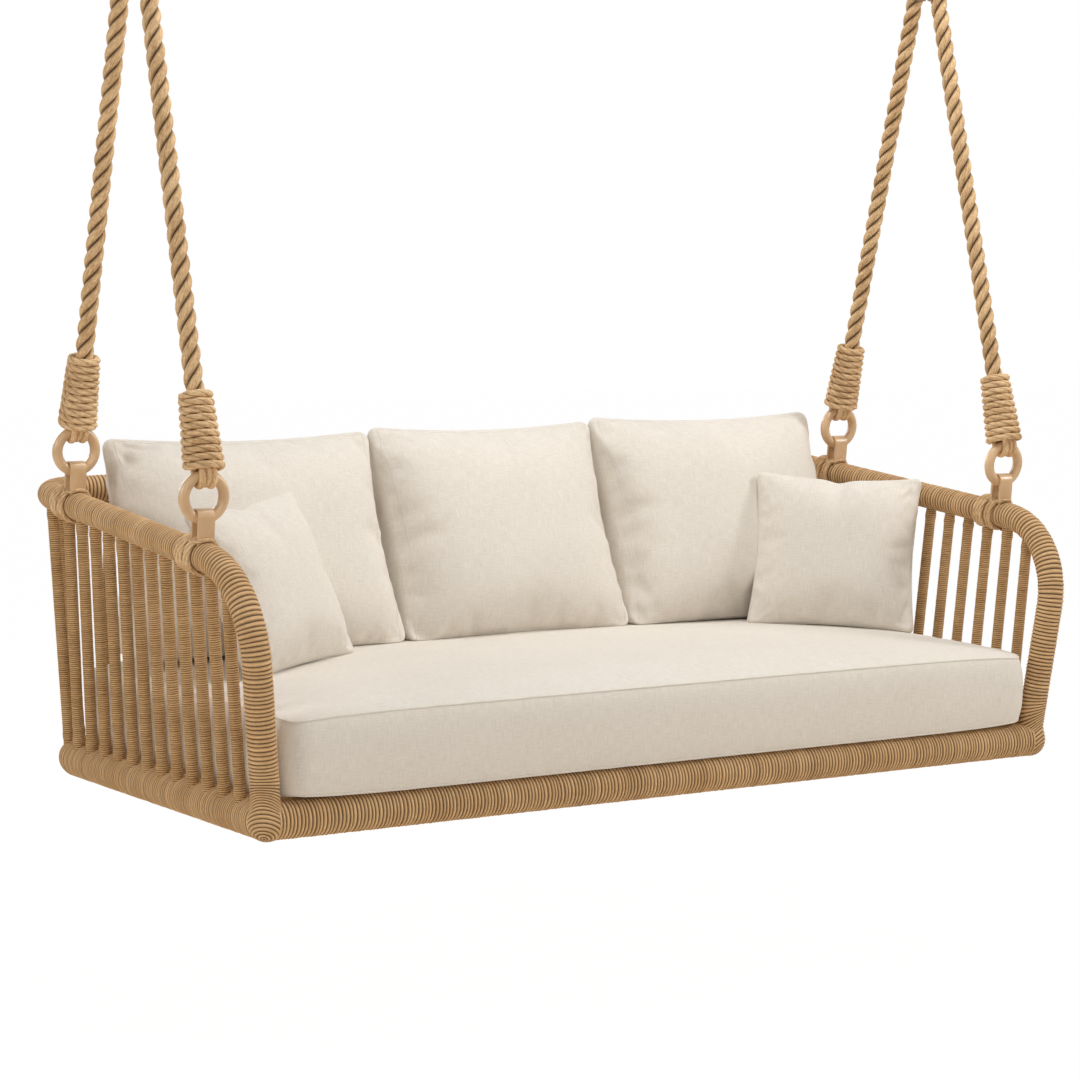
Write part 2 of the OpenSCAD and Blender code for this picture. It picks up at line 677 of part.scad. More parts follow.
// A cushion about the origin: w wide in X and h high in Z, with its seam in the XZ plane.
// It is edge thick at its seam and foot thick along its lower edge, and swells by front and rear.
// Its sides draw in by pull between the corners, and the lower edge by foot_pull.
// Its rear swells more towards the top by bias, and its foot lies level when it leans by tilt.
module cushion(w, h, edge, foot, front, rear, pull, foot_pull, n, m, bias = 0, tilt = 0) {
    function at(i, j, side) = let(
        u = spread(i, n), v = spread(j, m),
        half = edge / 2 + (foot - edge) / 2 * pow((1 - v) / 2, 1.5),
        swell = (side < 0 ? front : rear * (1 + bias * v)) * crown(u) * crown(v),
        y = side * (half + swell))
        [u * (w / 2 - pull * (1 - v * v)), y,
            v * (h / 2 - (v > 0 ? pull : foot_pull) * (1 - u * u)) + y * tan(tilt) * pow((1 - v) / 2, 3)];
    near = [for (j = [0 : m], i = [0 : n]) at(i, j, -1)];
    far = [for (j = [0 : m], i = [0 : n]) at(i, j, 1)];
    size = len(near);
    rim = concat([for (i = [0 : n - 1]) i], [for (j = [0 : m - 1]) n + j * (n + 1)],
        [for (i = [n : -1 : 1]) i + m * (n + 1)], [for (j = [m : -1 : 1]) j * (n + 1)]);
    count = len(rim);
    near_faces = [for (j = [0 : m - 1], i = [0 : n - 1]) let(a = j * (n + 1) + i)
        each [[a, a + 1, a + n + 2], [a, a + n + 2, a + n + 1]]];
    far_faces = [for (f = near_faces) [f[2] + size, f[1] + size, f[0] + size]];
    rim_faces = [for (k = [0 : count - 1]) let(a = rim[k], b = rim[(k + 1) % count])
        each [[a, a + size, b], [b, a + size, b + size]]];
    polyhedron(points = concat(near, far),
        faces = [for (f = concat(near_faces, far_faces, rim_faces)) [f[2], f[1], f[0]]]);
}

seat_floor = base_r + seat_gap;
seat_front = -seat_over;
// It stops short of the back slats, and between the side rails' covered tubes
seat_rear = back_y - arm_r - slat_out;
seat_half_w = half_w - base_r - base_cover;
seat_top = seat_floor + seat_t;
module seat_cushion() color("linen") at_frame()
    translate([0, seat_mid_y, seat_floor + seat_t / 2]) rotate([-90, 0, 0])
        cushion(2 * seat_half_w, seat_rear - seat_front, seat_t, seat_t, seat_crown, 0,
            seat_side_pull, seat_side_pull, 16, 10);

foot_pull = 0;
rear_bias = 0.5;
// The back cushions stand on the seat's crown and lean on the back rail
back_foot_y = back_y - arm_r - back_foot_in;
seat_mid_y = (seat_front + seat_rear) / 2;
function seat_rise(y) = seat_crown * crown((y - seat_mid_y) / ((seat_rear - seat_front) / 2));
back_foot_z = seat_top + seat_rise(back_foot_y - back_foot_t / 2);
module back_cushion(x, w, h) color("linen") at_frame()
    translate([back_row_shift + x, back_foot_y, back_foot_z]) rotate([-back_lean, 0, 0])
        translate([0, 0, h / 2])
            cushion(w, h, edge_t, back_foot_t, back_front_swell, back_rear_swell,
                back_pull, foot_pull, 10, 9, rear_bias, back_lean);
back_side_x = back_mid_w / 2 + seat_gap + back_side_w / 2;

pillow_swell = (pillow_t - edge_t) / 2;
module pillow(place, turn) color("linen") at_frame()
    translate(place) rotate(turn)
        cushion(pillow_w, pillow_h, edge_t, edge_t, pillow_swell, pillow_swell,
            pillow_pull, pillow_pull, 10, 9);

pillow_left_at = [pillow_left_in - seat_half_w, seat_front + pillow_left_deep, seat_top + pillow_left_up];
pillow_left_turn = [-23, -3, 28];
pillow_right_at = [seat_half_w - pillow_right_in, seat_front + pillow_right_deep, seat_top + pillow_right_up];
pillow_right_turn = [-21, 2, -41.5];

// The least gap between one turn of a winding and the next, measured on its points
function turn_gap(path, per_turn, d) = min([for (i = [0 : len(path) - 1], j = [0 : len(path) - 1])
    if (j > i + per_turn / 2) norm(path[i] - path[j])]) - d;
echo(whipping_gap = turn_gap(whip_path, whip_rings, whip_cord));
echo(lashing_gap = turn_gap(lash_path, lash_rings, lash_cord));

bracket(-1);  // ceiling_bracket_left
bracket(1);  // ceiling_bracket_right
swing_pins();
swing_link(-1);  // swing_link_left
swing_link(1);  // swing_link_right
sway_pin(-1);  // sway_pin_left
sway_pin(1);  // sway_pin_right
rope_socket(-1, true);  // rope_socket_front_left
rope_socket(-1, false);  // rope_socket_rear_left
rope_socket(1, true);  // rope_socket_front_right
rope_socket(1, false);  // rope_socket_rear_right
rope(-1, true);  // rope_front_left
rope(-1, false);  // rope_rear_left
rope(1, true);  // rope_front_right
rope(1, false);  // rope_rear_right
whipping(-1, true);  // whipping_front_left
whipping(-1, false);  // whipping_rear_left
whipping(1, true);  // whipping_front_right
whipping(1, false);  // whipping_rear_right
rope_eye(-1, true);  // rope_eye_front_left
rope_eye(-1, false);  // rope_eye_rear_left
rope_eye(1, true);  // rope_eye_front_right
rope_eye(1, false);  // rope_eye_rear_right
ring(-1, true);  // ring_front_left
ring(-1, false);  // ring_rear_left
ring(1, true);  // ring_front_right
ring(1, false);  // ring_rear_right
lug(-1, true);  // lug_front_left
lug(-1, false);  // lug_rear_left
lug(1, true);  // lug_front_right
lug(1, false);  // lug_rear_right
lug_lashings();
color("gray") base_straight(0, half_w, base_tube_d, base_tube_d - 2 * front_wall);  // base_tube_front
color("gray") base_straight(depth, base_corner_end - seat_gap, base_tube_d, base_tube_d - 2 * tube_wall);  // base_tube_rear
base_tube_side(-1);  // base_tube_left
base_tube_side(1);  // base_tube_right
arm_tube_side(-1);  // arm_tube_left
arm_tube_side(1);  // arm_tube_right
color("gray") back_straight(arm_tube_d, arm_tube_d - 2 * tube_wall);  // back_tube
color("tan") base_straight(0, half_w, base_d, base_tube_d + 2 * seat_gap);  // base_cover_front
color("tan") base_straight(depth, base_corner_end - seat_gap, base_d, base_tube_d + 2 * seat_gap);  // base_cover_rear
base_cover_side(-1);  // base_cover_left
base_cover_side(1);  // base_cover_right
arm_cover_side(-1);  // arm_cover_left
arm_cover_side(1);  // arm_cover_right
color("tan") back_straight(arm_d, arm_tube_d + 2 * seat_gap);  // back_cover
side_slats(-1);  // side_slats_left
side_slats(1);  // side_slats_right
back_slats_row();
slat_rods();
deck_bars();
deck_bearer();
seat_cushion();
back_cushion(-back_side_x, back_side_w, back_h - back_step);  // back_cushion_left
back_cushion(0, back_mid_w, back_h);  // back_cushion_middle
back_cushion(back_side_x, back_side_w, back_h + back_step);  // back_cushion_right
pillow(pillow_left_at, pillow_left_turn);  // throw_pillow_left
pillow(pillow_right_at, pillow_right_turn);  // throw_pillow_right
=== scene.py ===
# %% [markdown]
# # A hanging sofa with a cord-wrapped frame
# The frame of this sofa is metal tube, wound all over with natural cord. It hangs from four
# laid ropes, and carries one long seat cushion, three back cushions and two loose pillows.
# The construction model gives every size and joint. This script dresses it: it winds the
# cords, lays the ropes, stuffs the cushions and finishes each surface.

# %% Load the construction model
import math

import bpy
import numpy as np
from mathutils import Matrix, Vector


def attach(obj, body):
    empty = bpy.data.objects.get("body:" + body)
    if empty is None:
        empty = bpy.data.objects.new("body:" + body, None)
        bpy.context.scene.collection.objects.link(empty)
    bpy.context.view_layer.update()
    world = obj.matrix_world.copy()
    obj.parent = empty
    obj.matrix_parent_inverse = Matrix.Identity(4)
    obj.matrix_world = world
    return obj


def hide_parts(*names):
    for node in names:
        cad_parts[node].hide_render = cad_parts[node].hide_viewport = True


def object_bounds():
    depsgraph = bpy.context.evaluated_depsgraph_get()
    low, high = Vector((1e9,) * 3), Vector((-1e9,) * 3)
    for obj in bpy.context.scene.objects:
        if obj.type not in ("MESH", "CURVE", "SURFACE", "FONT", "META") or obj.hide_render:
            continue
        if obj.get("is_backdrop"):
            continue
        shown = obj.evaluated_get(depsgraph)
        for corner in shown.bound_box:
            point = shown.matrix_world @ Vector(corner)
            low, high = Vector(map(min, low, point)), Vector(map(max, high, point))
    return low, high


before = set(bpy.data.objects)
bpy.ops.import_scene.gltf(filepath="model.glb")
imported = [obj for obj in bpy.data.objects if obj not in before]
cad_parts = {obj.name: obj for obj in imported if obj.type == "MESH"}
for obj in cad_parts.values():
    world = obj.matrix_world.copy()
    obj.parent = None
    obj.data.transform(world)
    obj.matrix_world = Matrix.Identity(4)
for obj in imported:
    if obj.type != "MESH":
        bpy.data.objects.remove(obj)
CAD_BOX = [list(corner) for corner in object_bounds()]
bpy.ops.object.select_all(action="DESELECT")
print("construction model:", len(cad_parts), "nodes, box", CAD_BOX)

# %% [markdown]
# The maker's drawing has its origin at the middle of the front base rail, in millimetres:
# X to the right, Y to the back, Z up. The model hangs from the origin, in metres. One small
# function turns a point of the drawing into a point of the model, so that the numbers below
# can be read off the drawing. The base is a level frame with round rear corners. The arm
# rails stand a little further out, and rise towards the back.

# %% From the drawing to the model
HOOK_Y, CEILING = 406.0, 1770.0
BASE_X, BASE_REAR, BASE_R = 884.0, 890.0, 35.0
ARM_X, ARM_FRONT, ARM_REAR, ARM_LOW, ARM_HIGH, ARM_R = 931.0, -42.0, 886.0, 438.0, 532.0, 27.0
CORNER_R, BEND_R = 80.0, 165.0


def placed(points):
    """Points of the drawing, in millimetres, as points of the model, in metres."""
    return (np.asarray(points, float) - [0, HOOK_Y, CEILING]) / 1000


def unit(v):
    v = np.asarray(v, float)
    return v / np.linalg.norm(v, axis=-1, keepdims=True)


RISE = math.atan2(ARM_HIGH - ARM_LOW, ARM_REAR - ARM_FRONT)
ALONG = np.array([0, math.cos(RISE), math.sin(RISE)])
SQUARE = np.array([0, -math.sin(RISE), math.cos(RISE)])
LUG_Y = {"front": 151.0, "rear": 709.0}
SIDES = {"left": -1, "right": 1}


def rail_at(y):
    """The point of the right arm rail's centre line at a place from front to back."""
    return np.array([ARM_X, y, ARM_LOW + (y - ARM_FRONT) * math.tan(RISE)])


def arm_corners(sign):
    """The foot of a post, the corner above it, and the rear end of the arm rail."""
    return (np.array([sign * BASE_X, 0, 0]), np.array([sign * ARM_X, ARM_FRONT, ARM_LOW]),
            np.array([sign * ARM_X, ARM_REAR, ARM_HIGH]))


print("the arm rails rise by", round(math.degrees(RISE), 2), "degrees")

# %% [markdown]
# ## The camera
# The photograph was taken with a long lens from the front left, a little above the seat.
# Its place was found by matching the corners of the frame, so the lens has no shift.

# %% Camera
def add_object(name, data):
    """A new object with its data, linked to the scene."""
    new = bpy.data.objects.new(name, data)
    bpy.context.scene.collection.objects.link(new)
    return new


FOCAL_LENGTH, VIEWPOINT = 96.67, [-3174.1, -4487.2, 920.05]
LOOKS_DOWN, LOOKS_RIGHT = 4.848, 32.486
camera_data = bpy.data.cameras.new("long_lens")
camera_data.sensor_width = 36
camera_data.lens = FOCAL_LENGTH
camera_data.clip_end = 200
camera = add_object("long_lens", camera_data)
camera.location = placed(VIEWPOINT)
camera.rotation_euler = (math.radians(90 - LOOKS_DOWN), 0, math.radians(-LOOKS_RIGHT))
bpy.context.scene.camera = camera
print("camera at", [round(x, 3) for x in camera.location])

# %% [markdown]
# ## Finishes
# Three effects come back in many finishes, so each is a node group that is built once: the
# fibres of a cord with the painted shade in its grooves, the weave of linen, and the faint
# mottling of a coat of paint. A group gives colours and a height. The shader stays in the
# material, with its plain numbers on its own sockets.

# %% Helpers for node groups
def new_group(name, inputs, outputs):
    """A node group with its sockets, and its input and output nodes."""
    group = bpy.data.node_groups.new(name, "ShaderNodeTree")
    for title, kind, value in inputs:
        socket = group.interface.new_socket(title, in_out="INPUT", socket_type=kind)
        if value is not None:
            socket.default_value = value
    for title, kind in outputs:
        group.interface.new_socket(title, in_out="OUTPUT", socket_type=kind)
    return group, group.nodes.new("NodeGroupInput"), group.nodes.new("NodeGroupOutput")


def add_node(tree, kind, inputs=None, **settings):
    """A node whose inputs are joined to other sockets or set to plain values."""
    node = tree.nodes.new(kind)
    for key, value in settings.items():
        setattr(node, key, value)
    for key, value in (inputs or {}).items():
        if isinstance(value, bpy.types.NodeSocket):
            tree.links.new(value, node.inputs[key])
        else:
            node.inputs[key].default_value = value
    return node


def math_node(tree, operation, a, b=0.0, clamp=False):
    node = add_node(tree, "ShaderNodeMath", {0: a, 1: b}, operation=operation, use_clamp=clamp)
    return node.outputs[0]


def scaled_plus(tree, value, factor, offset):
    """The value times a factor, plus an offset, in one node."""
    result = math_node(tree, "MULTIPLY_ADD", value, factor)
    result.node.inputs[2].default_value = offset
    return result


def mix_colours(tree, factor, a, b, blend="MIX"):
    node = add_node(tree, "ShaderNodeMix", data_type="RGBA", blend_type=blend)
    for slot, value in ((0, factor), (6, a), (7, b)):
        if isinstance(value, bpy.types.NodeSocket):
            tree.links.new(value, node.inputs[slot])
        else:
            node.inputs[slot].default_value = value
    return node.outputs[2]


def srgb(r, g, b):
    """A colour as a picture editor gives it, from 0 to 255, as the linear colour of a node."""
    def linear(c):
        c /= 255
        return c / 12.92 if c <= 0.04045 else ((c + 0.055) / 1.055) ** 2.4
    return (linear(r), linear(g), linear(b), 1)


print("helpers ready, linen would be", [round(c, 3) for c in srgb(236, 229, 218)])

# %% [markdown]
# Natural cord is many fine fibres, a little lighter and darker side by side. They run along
# the cord, so the noise is stretched in the piece's own UV map: long along the cord and thin
# across it. Between two turns the cord is painted darker and browner, as painted shade where
# the groove would lie in shadow. Each wound piece carries an attribute that says how much of
# this painted shade a point gets.

# %% Group: the fibres of a cord and the painted shade in its grooves
def build_cord_fibre_and_shade():
    group, gin, gout = new_group(
        "cord_fibre_and_groove_shade",
        [("Light", "NodeSocketColor", None), ("Dark", "NodeSocketColor", None),
         ("Groove shade colour", "NodeSocketColor", None), ("Fibre", "NodeSocketVector", None),
         ("Contrast", "NodeSocketFloat", 1.0)],
        [("Colour", "NodeSocketColor"), ("Height", "NodeSocketFloat")])
    fibre = add_node(group, "ShaderNodeTexNoise",
                     {"Vector": gin.outputs["Fibre"], "Scale": 1.0, "Detail": 3.0, "Roughness": 0.6})
    place = add_node(group, "ShaderNodeTexCoord").outputs["Object"]
    patch = add_node(group, "ShaderNodeTexNoise", {"Vector": place, "Scale": 14.0, "Detail": 2.0})
    speck = add_node(group, "ShaderNodeTexNoise", {"Vector": place, "Scale": 170.0, "Detail": 2.0})
    tone = 0.5
    for noise, weight in ((fibre, 1.7), (patch, 0.9), (speck, 0.7)):
        centred = math_node(group, "SUBTRACT", noise.outputs["Fac"], 0.5)
        tone = math_node(group, "ADD", math_node(group, "MULTIPLY", centred, weight), tone)
    centred = math_node(group, "MULTIPLY", math_node(group, "SUBTRACT", tone, 0.5), gin.outputs["Contrast"])
    tone = math_node(group, "ADD", centred, 0.5, clamp=True)
    body = mix_colours(group, tone, gin.outputs["Dark"], gin.outputs["Light"])
    # Painted shade: the colour goes towards the groove colour where a point lies in a groove between turns
    # or strands.
    groove_shade = add_node(group, "ShaderNodeAttribute", attribute_name="groove_shade").outputs["Fac"]
    deep = math_node(group, "POWER", groove_shade, 1.15, clamp=True)
    colour = mix_colours(group, deep, body, gin.outputs["Groove shade colour"])
    group.links.new(colour, gout.inputs["Colour"])
    group.links.new(fibre.outputs["Fac"], gout.inputs["Height"])
    return group


CORD_FIBRE_AND_SHADE = build_cord_fibre_and_shade()
print("group", CORD_FIBRE_AND_SHADE.name, "has", len(CORD_FIBRE_AND_SHADE.nodes), "nodes")

# %% [markdown]
# Linen is woven from uneven threads. Close up the over and under of the threads shows. From
# further off one sees only slubs, the thicker lengths of thread, as faint short lines both
# ways. Both follow the cloth, so they read the cushion's UV map, which is in metres.

# %% Group: the weave of linen
THREADS_PER_METRE = 620.0


def build_linen_weave():
    group, gin, gout = new_group(
        "linen_weave",
        [("Light", "NodeSocketColor", None), ("Dark", "NodeSocketColor", None)],
        [("Colour", "NodeSocketColor"), ("Height", "NodeSocketFloat")])
    cloth = add_node(group, "ShaderNodeUVMap", uv_map="UVMap").outputs["UV"]
    parts = add_node(group, "ShaderNodeSeparateXYZ", {0: cloth})
    waves = []
    for axis in (0, 1):
        threads = math_node(group, "MULTIPLY", parts.outputs[axis], THREADS_PER_METRE)
        waves.append(math_node(group, "SINE", math_node(group, "MULTIPLY", threads, 2 * math.pi)))
    weave = math_node(group, "MULTIPLY", waves[0], waves[1])
    slubs = []
    for stretch in ((45, 700, 1), (620, 38, 1)):
        stretched = add_node(group, "ShaderNodeMapping", {"Vector": cloth, "Scale": stretch}).outputs[0]
        noise = add_node(group, "ShaderNodeTexNoise",
                         {"Vector": stretched, "Scale": 1.0, "Detail": 2.5, "Roughness": 0.6})
        slubs.append(noise.outputs["Fac"])
    slub = math_node(group, "SUBTRACT", math_node(group, "ADD", slubs[0], slubs[1]), 1.0)
    place = add_node(group, "ShaderNodeTexCoord").outputs["Object"]
    shade = add_node(group, "ShaderNodeTexNoise", {"Vector": place, "Scale": 7.0, "Detail": 2.0})
    tone = math_node(group, "MULTIPLY", slub, 1.5)
    for part, weight in ((shade.outputs["Fac"], 0.3), (weave, 0.10)):
        tone = math_node(group, "ADD", tone, math_node(group, "MULTIPLY", part, weight))
    tone = math_node(group, "ADD", tone, 0.45, clamp=True)
    colour = mix_colours(group, tone, gin.outputs["Dark"], gin.outputs["Light"])
    height = math_node(group, "ADD", math_node(group, "MULTIPLY", weave, 0.35), slub)
    group.links.new(colour, gout.inputs["Colour"])
    group.links.new(height, gout.inputs["Height"])
    return group


LINEN_WEAVE = build_linen_weave()
print("group", LINEN_WEAVE.name, "has", len(LINEN_WEAVE.nodes), "nodes")

# %% [markdown]
# Powder coat and paint look even from afar. Near by they have a fine orange peel and patches
# that are a touch lighter, where hands and ropes have rubbed. The same group serves the
# rings, the lugs, the ceiling fittings and the tubes, each with its own two colours.

# %% Group: the mottling of a coat
def build_coat_mottle():
    group, gin, gout = new_group(
        "coat_mottle",
        [("Light", "NodeSocketColor", None), ("Dark", "NodeSocketColor", None)],
        [("Colour", "NodeSocketColor"), ("Roughness", "NodeSocketFloat"), ("Height", "NodeSocketFloat")])
    place = add_node(group, "ShaderNodeTexCoord").outputs["Object"]
    patch = add_node(group, "ShaderNodeTexNoise", {"Vector": place, "Scale": 28.0, "Detail": 4.0})
    peel = add_node(group, "ShaderNodeTexNoise", {"Vector": place, "Scale": 900.0, "Detail": 1.0})
    wide = add_node(group, "ShaderNodeMapRange",
                    {"Value": patch.outputs["Fac"], "From Min": 0.3, "From Max": 0.7})
    colour = mix_colours(group, wide.outputs[0], gin.outputs["Dark"], gin.outputs["Light"])
    group.links.new(colour, gout.inputs["Colour"])
    group.links.new(scaled_plus(group, patch.outputs["Fac"], 0.16, 0.32), gout.inputs["Roughness"])
    group.links.new(peel.outputs["Fac"], gout.inputs["Height"])
    return group


COAT_MOTTLE = build_coat_mottle()
print("group", COAT_MOTTLE.name, "has", len(COAT_MOTTLE.nodes), "nodes")

# %% [markdown]
# ### The materials
# The rope, the whippings, the rails and the slats are the same natural cord in different
# thicknesses, so one function makes their materials. Only the stretch of the fibres and the
# colours differ. On a strand the UV's V runs along the cord. On a rail the cord runs round
# the tube, so there the fibres are long in U.

# %% Materials: cord
def new_material(name, roughness):
    """A material with its node tree and its shader."""
    material = bpy.data.materials.new(name)
    material.use_nodes = True
    shader = material.node_tree.nodes["Principled BSDF"]
    shader.inputs["Roughness"].default_value = roughness
    return material, material.node_tree, shader


def start_material(name, group, values, roughness, bump, bump_distance):
    """A material whose colour and bump come from a group. The shader stays open for more."""
    material, tree, shader = new_material(name, roughness)
    shader.inputs["Specular IOR Level"].default_value = 0.25
    effect = add_node(tree, "ShaderNodeGroup", node_tree=group)
    for key, value in values.items():
        effect.inputs[key].default_value = value
    tree.links.new(effect.outputs["Colour"], shader.inputs["Base Color"])
    height = add_node(tree, "ShaderNodeBump",
                      {"Strength": bump, "Distance": bump_distance, "Height": effect.outputs["Height"]})
    tree.links.new(height.outputs[0], shader.inputs["Normal"])
    return material, tree, shader, effect


def cord_material(name, light, dark, groove_shade, stretch, skew=0.0, contrast=1.0):
    """Cord whose fibres have a stretch in the UV map, lie at a skew to it, and have a contrast."""
    values = {"Light": srgb(*light), "Dark": srgb(*dark), "Groove shade colour": srgb(*groove_shade),
              "Contrast": contrast}
    material, tree, shader, effect = start_material(
        name, CORD_FIBRE_AND_SHADE, values, roughness=0.86, bump=0.55, bump_distance=0.0012)
    cloth = add_node(tree, "ShaderNodeUVMap", uv_map="UVMap").outputs["UV"]
    turned = add_node(tree, "ShaderNodeMapping", {"Vector": cloth, "Rotation": (0, 0, skew)}).outputs[0]
    fibres = add_node(tree, "ShaderNodeMapping", {"Vector": turned, "Scale": stretch}).outputs[0]
    tree.links.new(fibres, effect.inputs["Fibre"])
    return material


# The third colour of each cord is painted shade, for the grooves between turns and strands.
ROPE = cord_material("laid_rope", (242, 207, 160), (182, 142, 98), (66, 42, 19), (560, 28, 1),
                     skew=-0.6, contrast=1.3)
WHIPPING = cord_material("whipping_cord", (247, 213, 167), (186, 145, 100), (68, 44, 21), (640, 32, 1),
                         skew=-0.5, contrast=1.3)
RAILS = cord_material("rail_cord", (247, 207, 157), (210, 164, 111), (50, 28, 8), (30, 900, 1))
SLATS = cord_material("slat_cord", (243, 200, 146), (198, 152, 97), (50, 28, 8), (32, 1000, 1))
print("cord materials:", ROPE.name, WHIPPING.name, RAILS.name, SLATS.name)

# %% [markdown]
# Linen hardly shines, but its loose fibres catch the light at the edges, which the shader's
# sheen gives. A coat is a thin glossy layer over a duller one, so the paint has the shader's
# coat as well. The bare pins are the same group on a metal shader.

# %% Materials: linen, coats and steel
def linen_material(name, light, dark):
    material, tree, shader, effect = start_material(
        name, LINEN_WEAVE, {"Light": light, "Dark": dark}, roughness=0.92, bump=0.35, bump_distance=0.0008)
    shader.inputs["Specular IOR Level"].default_value = 0.12
    shader.inputs["Sheen Weight"].default_value = 0.12
    shader.inputs["Sheen Roughness"].default_value = 0.6
    return material


def coat_material(name, light, dark, metallic=0.0):
    """Paint, or bare metal where metallic is 1."""
    material, tree, shader, effect = start_material(
        name, COAT_MOTTLE, {"Light": light, "Dark": dark}, roughness=0.5, bump=0.12, bump_distance=0.0003)
    tree.links.new(effect.outputs["Roughness"], shader.inputs["Roughness"])
    shader.inputs["Specular IOR Level"].default_value = 0.5
    shader.inputs["Metallic"].default_value = metallic
    shader.inputs["Coat Weight"].default_value = 0.0 if metallic else 0.55
    shader.inputs["Coat Roughness"].default_value = 0.24
    return material


LINEN = linen_material("cream_linen", srgb(238, 231, 220), srgb(218, 208, 194))
BEIGE_COAT = coat_material("beige_coat", srgb(222, 185, 141), srgb(208, 170, 126))
FITTING_COAT = coat_material("fitting_coat", srgb(158, 132, 103), srgb(136, 111, 84))
TUBE_COAT = coat_material("tube_coat", srgb(176, 148, 116), srgb(154, 127, 97))
PIN_STEEL = coat_material("pin_steel", (0.62, 0.61, 0.59, 1), (0.50, 0.49, 0.47, 1), metallic=1.0)
print("linen and coats:", LINEN.name, BEIGE_COAT.name, FITTING_COAT.name, TUBE_COAT.name, PIN_STEEL.name)

# %% [markdown]
# Wood has long streaks of light and dark along the bar, and short fine pores. Both are noise
# that is stretched along Y, the way the bars run, and the pores also give the bump.

# %% Material: oiled wood
def wood_material(name, light, dark):
    material, tree, shader = new_material(name, 0.6)
    place = add_node(tree, "ShaderNodeTexCoord").outputs["Object"]
    grain = add_node(tree, "ShaderNodeMapping", {"Vector": place, "Scale": (90, 5, 90)}).outputs[0]
    noise = add_node(tree, "ShaderNodeTexNoise",
                     {"Vector": grain, "Scale": 1.0, "Detail": 5.0, "Distortion": 0.6})
    pores = add_node(tree, "ShaderNodeMapping", {"Vector": place, "Scale": (900, 40, 900)}).outputs[0]
    pore = add_node(tree, "ShaderNodeTexNoise", {"Vector": pores, "Scale": 1.0, "Detail": 1.0})
    wide = add_node(tree, "ShaderNodeMapRange",
                    {"Value": noise.outputs["Fac"], "From Min": 0.3, "From Max": 0.7})
    darker = math_node(tree, "MULTIPLY", pore.outputs["Fac"], 0.3)
    tone = math_node(tree, "SUBTRACT", wide.outputs[0], darker, clamp=True)
    tree.links.new(mix_colours(tree, tone, dark, light), shader.inputs["Base Color"])
    bump = add_node(tree, "ShaderNodeBump",
                    {"Strength": 0.3, "Distance": 0.0006, "Height": pore.outputs["Fac"]})
    tree.links.new(bump.outputs[0], shader.inputs["Normal"])
    return material


WOOD = wood_material("oiled_wood", srgb(196, 160, 118), srgb(150, 114, 76))
print("materials so far:", len(bpy.data.materials))

# %% [markdown]
# ## How a cord becomes a mesh
# A wound cord is a tube whose cross-section is carried along a line. Hundreds of turns can't
# be drawn by hand, so these pieces are made from a formula: rings of points, joined by
# four-sided faces, closed at both ends. Each point keeps two things for the material: its
# place on the cord's surface as UV in metres, and how much painted shade it gets in a groove.

# %% Rings of points into a piece
def sheath(rings, along, girth, groove_shade=0.0):
    """Points, corners, corner counts, UVs and painted groove shade values of a closed tube through rings of
    points.
    """
    rings = np.asarray(rings, float)
    n, k = rings.shape[:2]
    i, j = np.meshgrid(np.arange(n - 1), np.arange(k), indexing="ij")
    a, b = i * k + j, i * k + (j + 1) % k
    quads = np.stack([a, b, b + k, a + k], -1).reshape(-1)
    along = np.asarray(along, float)
    u = np.stack([j, j + 1, j + 1, j], -1).reshape(-1) * girth / k
    v = np.stack([along[i], along[i], along[i + 1], along[i + 1]], -1).reshape(-1)
    ends = np.concatenate([np.arange(k)[::-1], (n - 1) * k + np.arange(k)])
    uv = np.concatenate([np.stack([u, v], -1), np.zeros((2 * k, 2))])
    groove_shade = np.asarray(groove_shade, float)
    groove_shade = np.broadcast_to(groove_shade[:, None] if groove_shade.ndim == 1 else groove_shade, (n, k)).reshape(-1)
    totals = np.concatenate([np.full((n - 1) * k, 4), [k, k]])
    return rings.reshape(-1, 3), np.concatenate([quads, ends]), totals, uv, groove_shade


def finish_piece(piece, body, slot_name, *replaced):
    """Says which body a piece moves with and which nodes it stands for. Its slot name is not used."""
    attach(piece, body)
    if replaced:
        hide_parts(*replaced)
    triangles = sum(len(p.vertices) - 2 for p in piece.data.polygons)
    print(f"{piece.name}: {triangles} triangles, rides on {body}")


def make_piece(name, parts, material):
    """One mesh object from a list of sheaths."""
    shift = np.cumsum([0] + [len(p[0]) for p in parts])
    points = np.concatenate([p[0] for p in parts])
    corners = np.concatenate([p[1] + s for p, s in zip(parts, shift)])
    totals = np.concatenate([p[2] for p in parts])
    mesh = bpy.data.meshes.new(name)
    mesh.vertices.add(len(points))
    mesh.vertices.foreach_set("co", points.ravel())
    mesh.loops.add(len(corners))
    mesh.loops.foreach_set("vertex_index", corners.astype(np.int32))
    mesh.polygons.add(len(totals))
    starts = np.concatenate([[0], np.cumsum(totals)[:-1]])
    mesh.polygons.foreach_set("loop_start", starts.astype(np.int32))
    mesh.update(calc_edges=True)
    mesh.polygons.foreach_set("use_smooth", np.ones(len(totals), bool))
    mesh.uv_layers.new(name="UVMap").data.foreach_set("uv", np.concatenate([p[3] for p in parts]).ravel())
    # The painted groove shade goes to the material as a point attribute.
    groove_shades = mesh.attributes.new("groove_shade", "FLOAT", "POINT")
    groove_shades.data.foreach_set("value", np.concatenate([p[4] for p in parts]))
    mesh.materials.append(material)
    return add_object(name, mesh)


print("a tube of 10 rings of 8 points has", len(sheath(np.zeros((10, 8, 3)), np.zeros(10), 1)[2]), "faces")

# %% [markdown]
# A ring stands square to its line, so each point of the line needs two directions across it.
# If these were made afresh at each point, the tube would twist where the line bends. They are
# carried from point to point instead, and only straightened up.

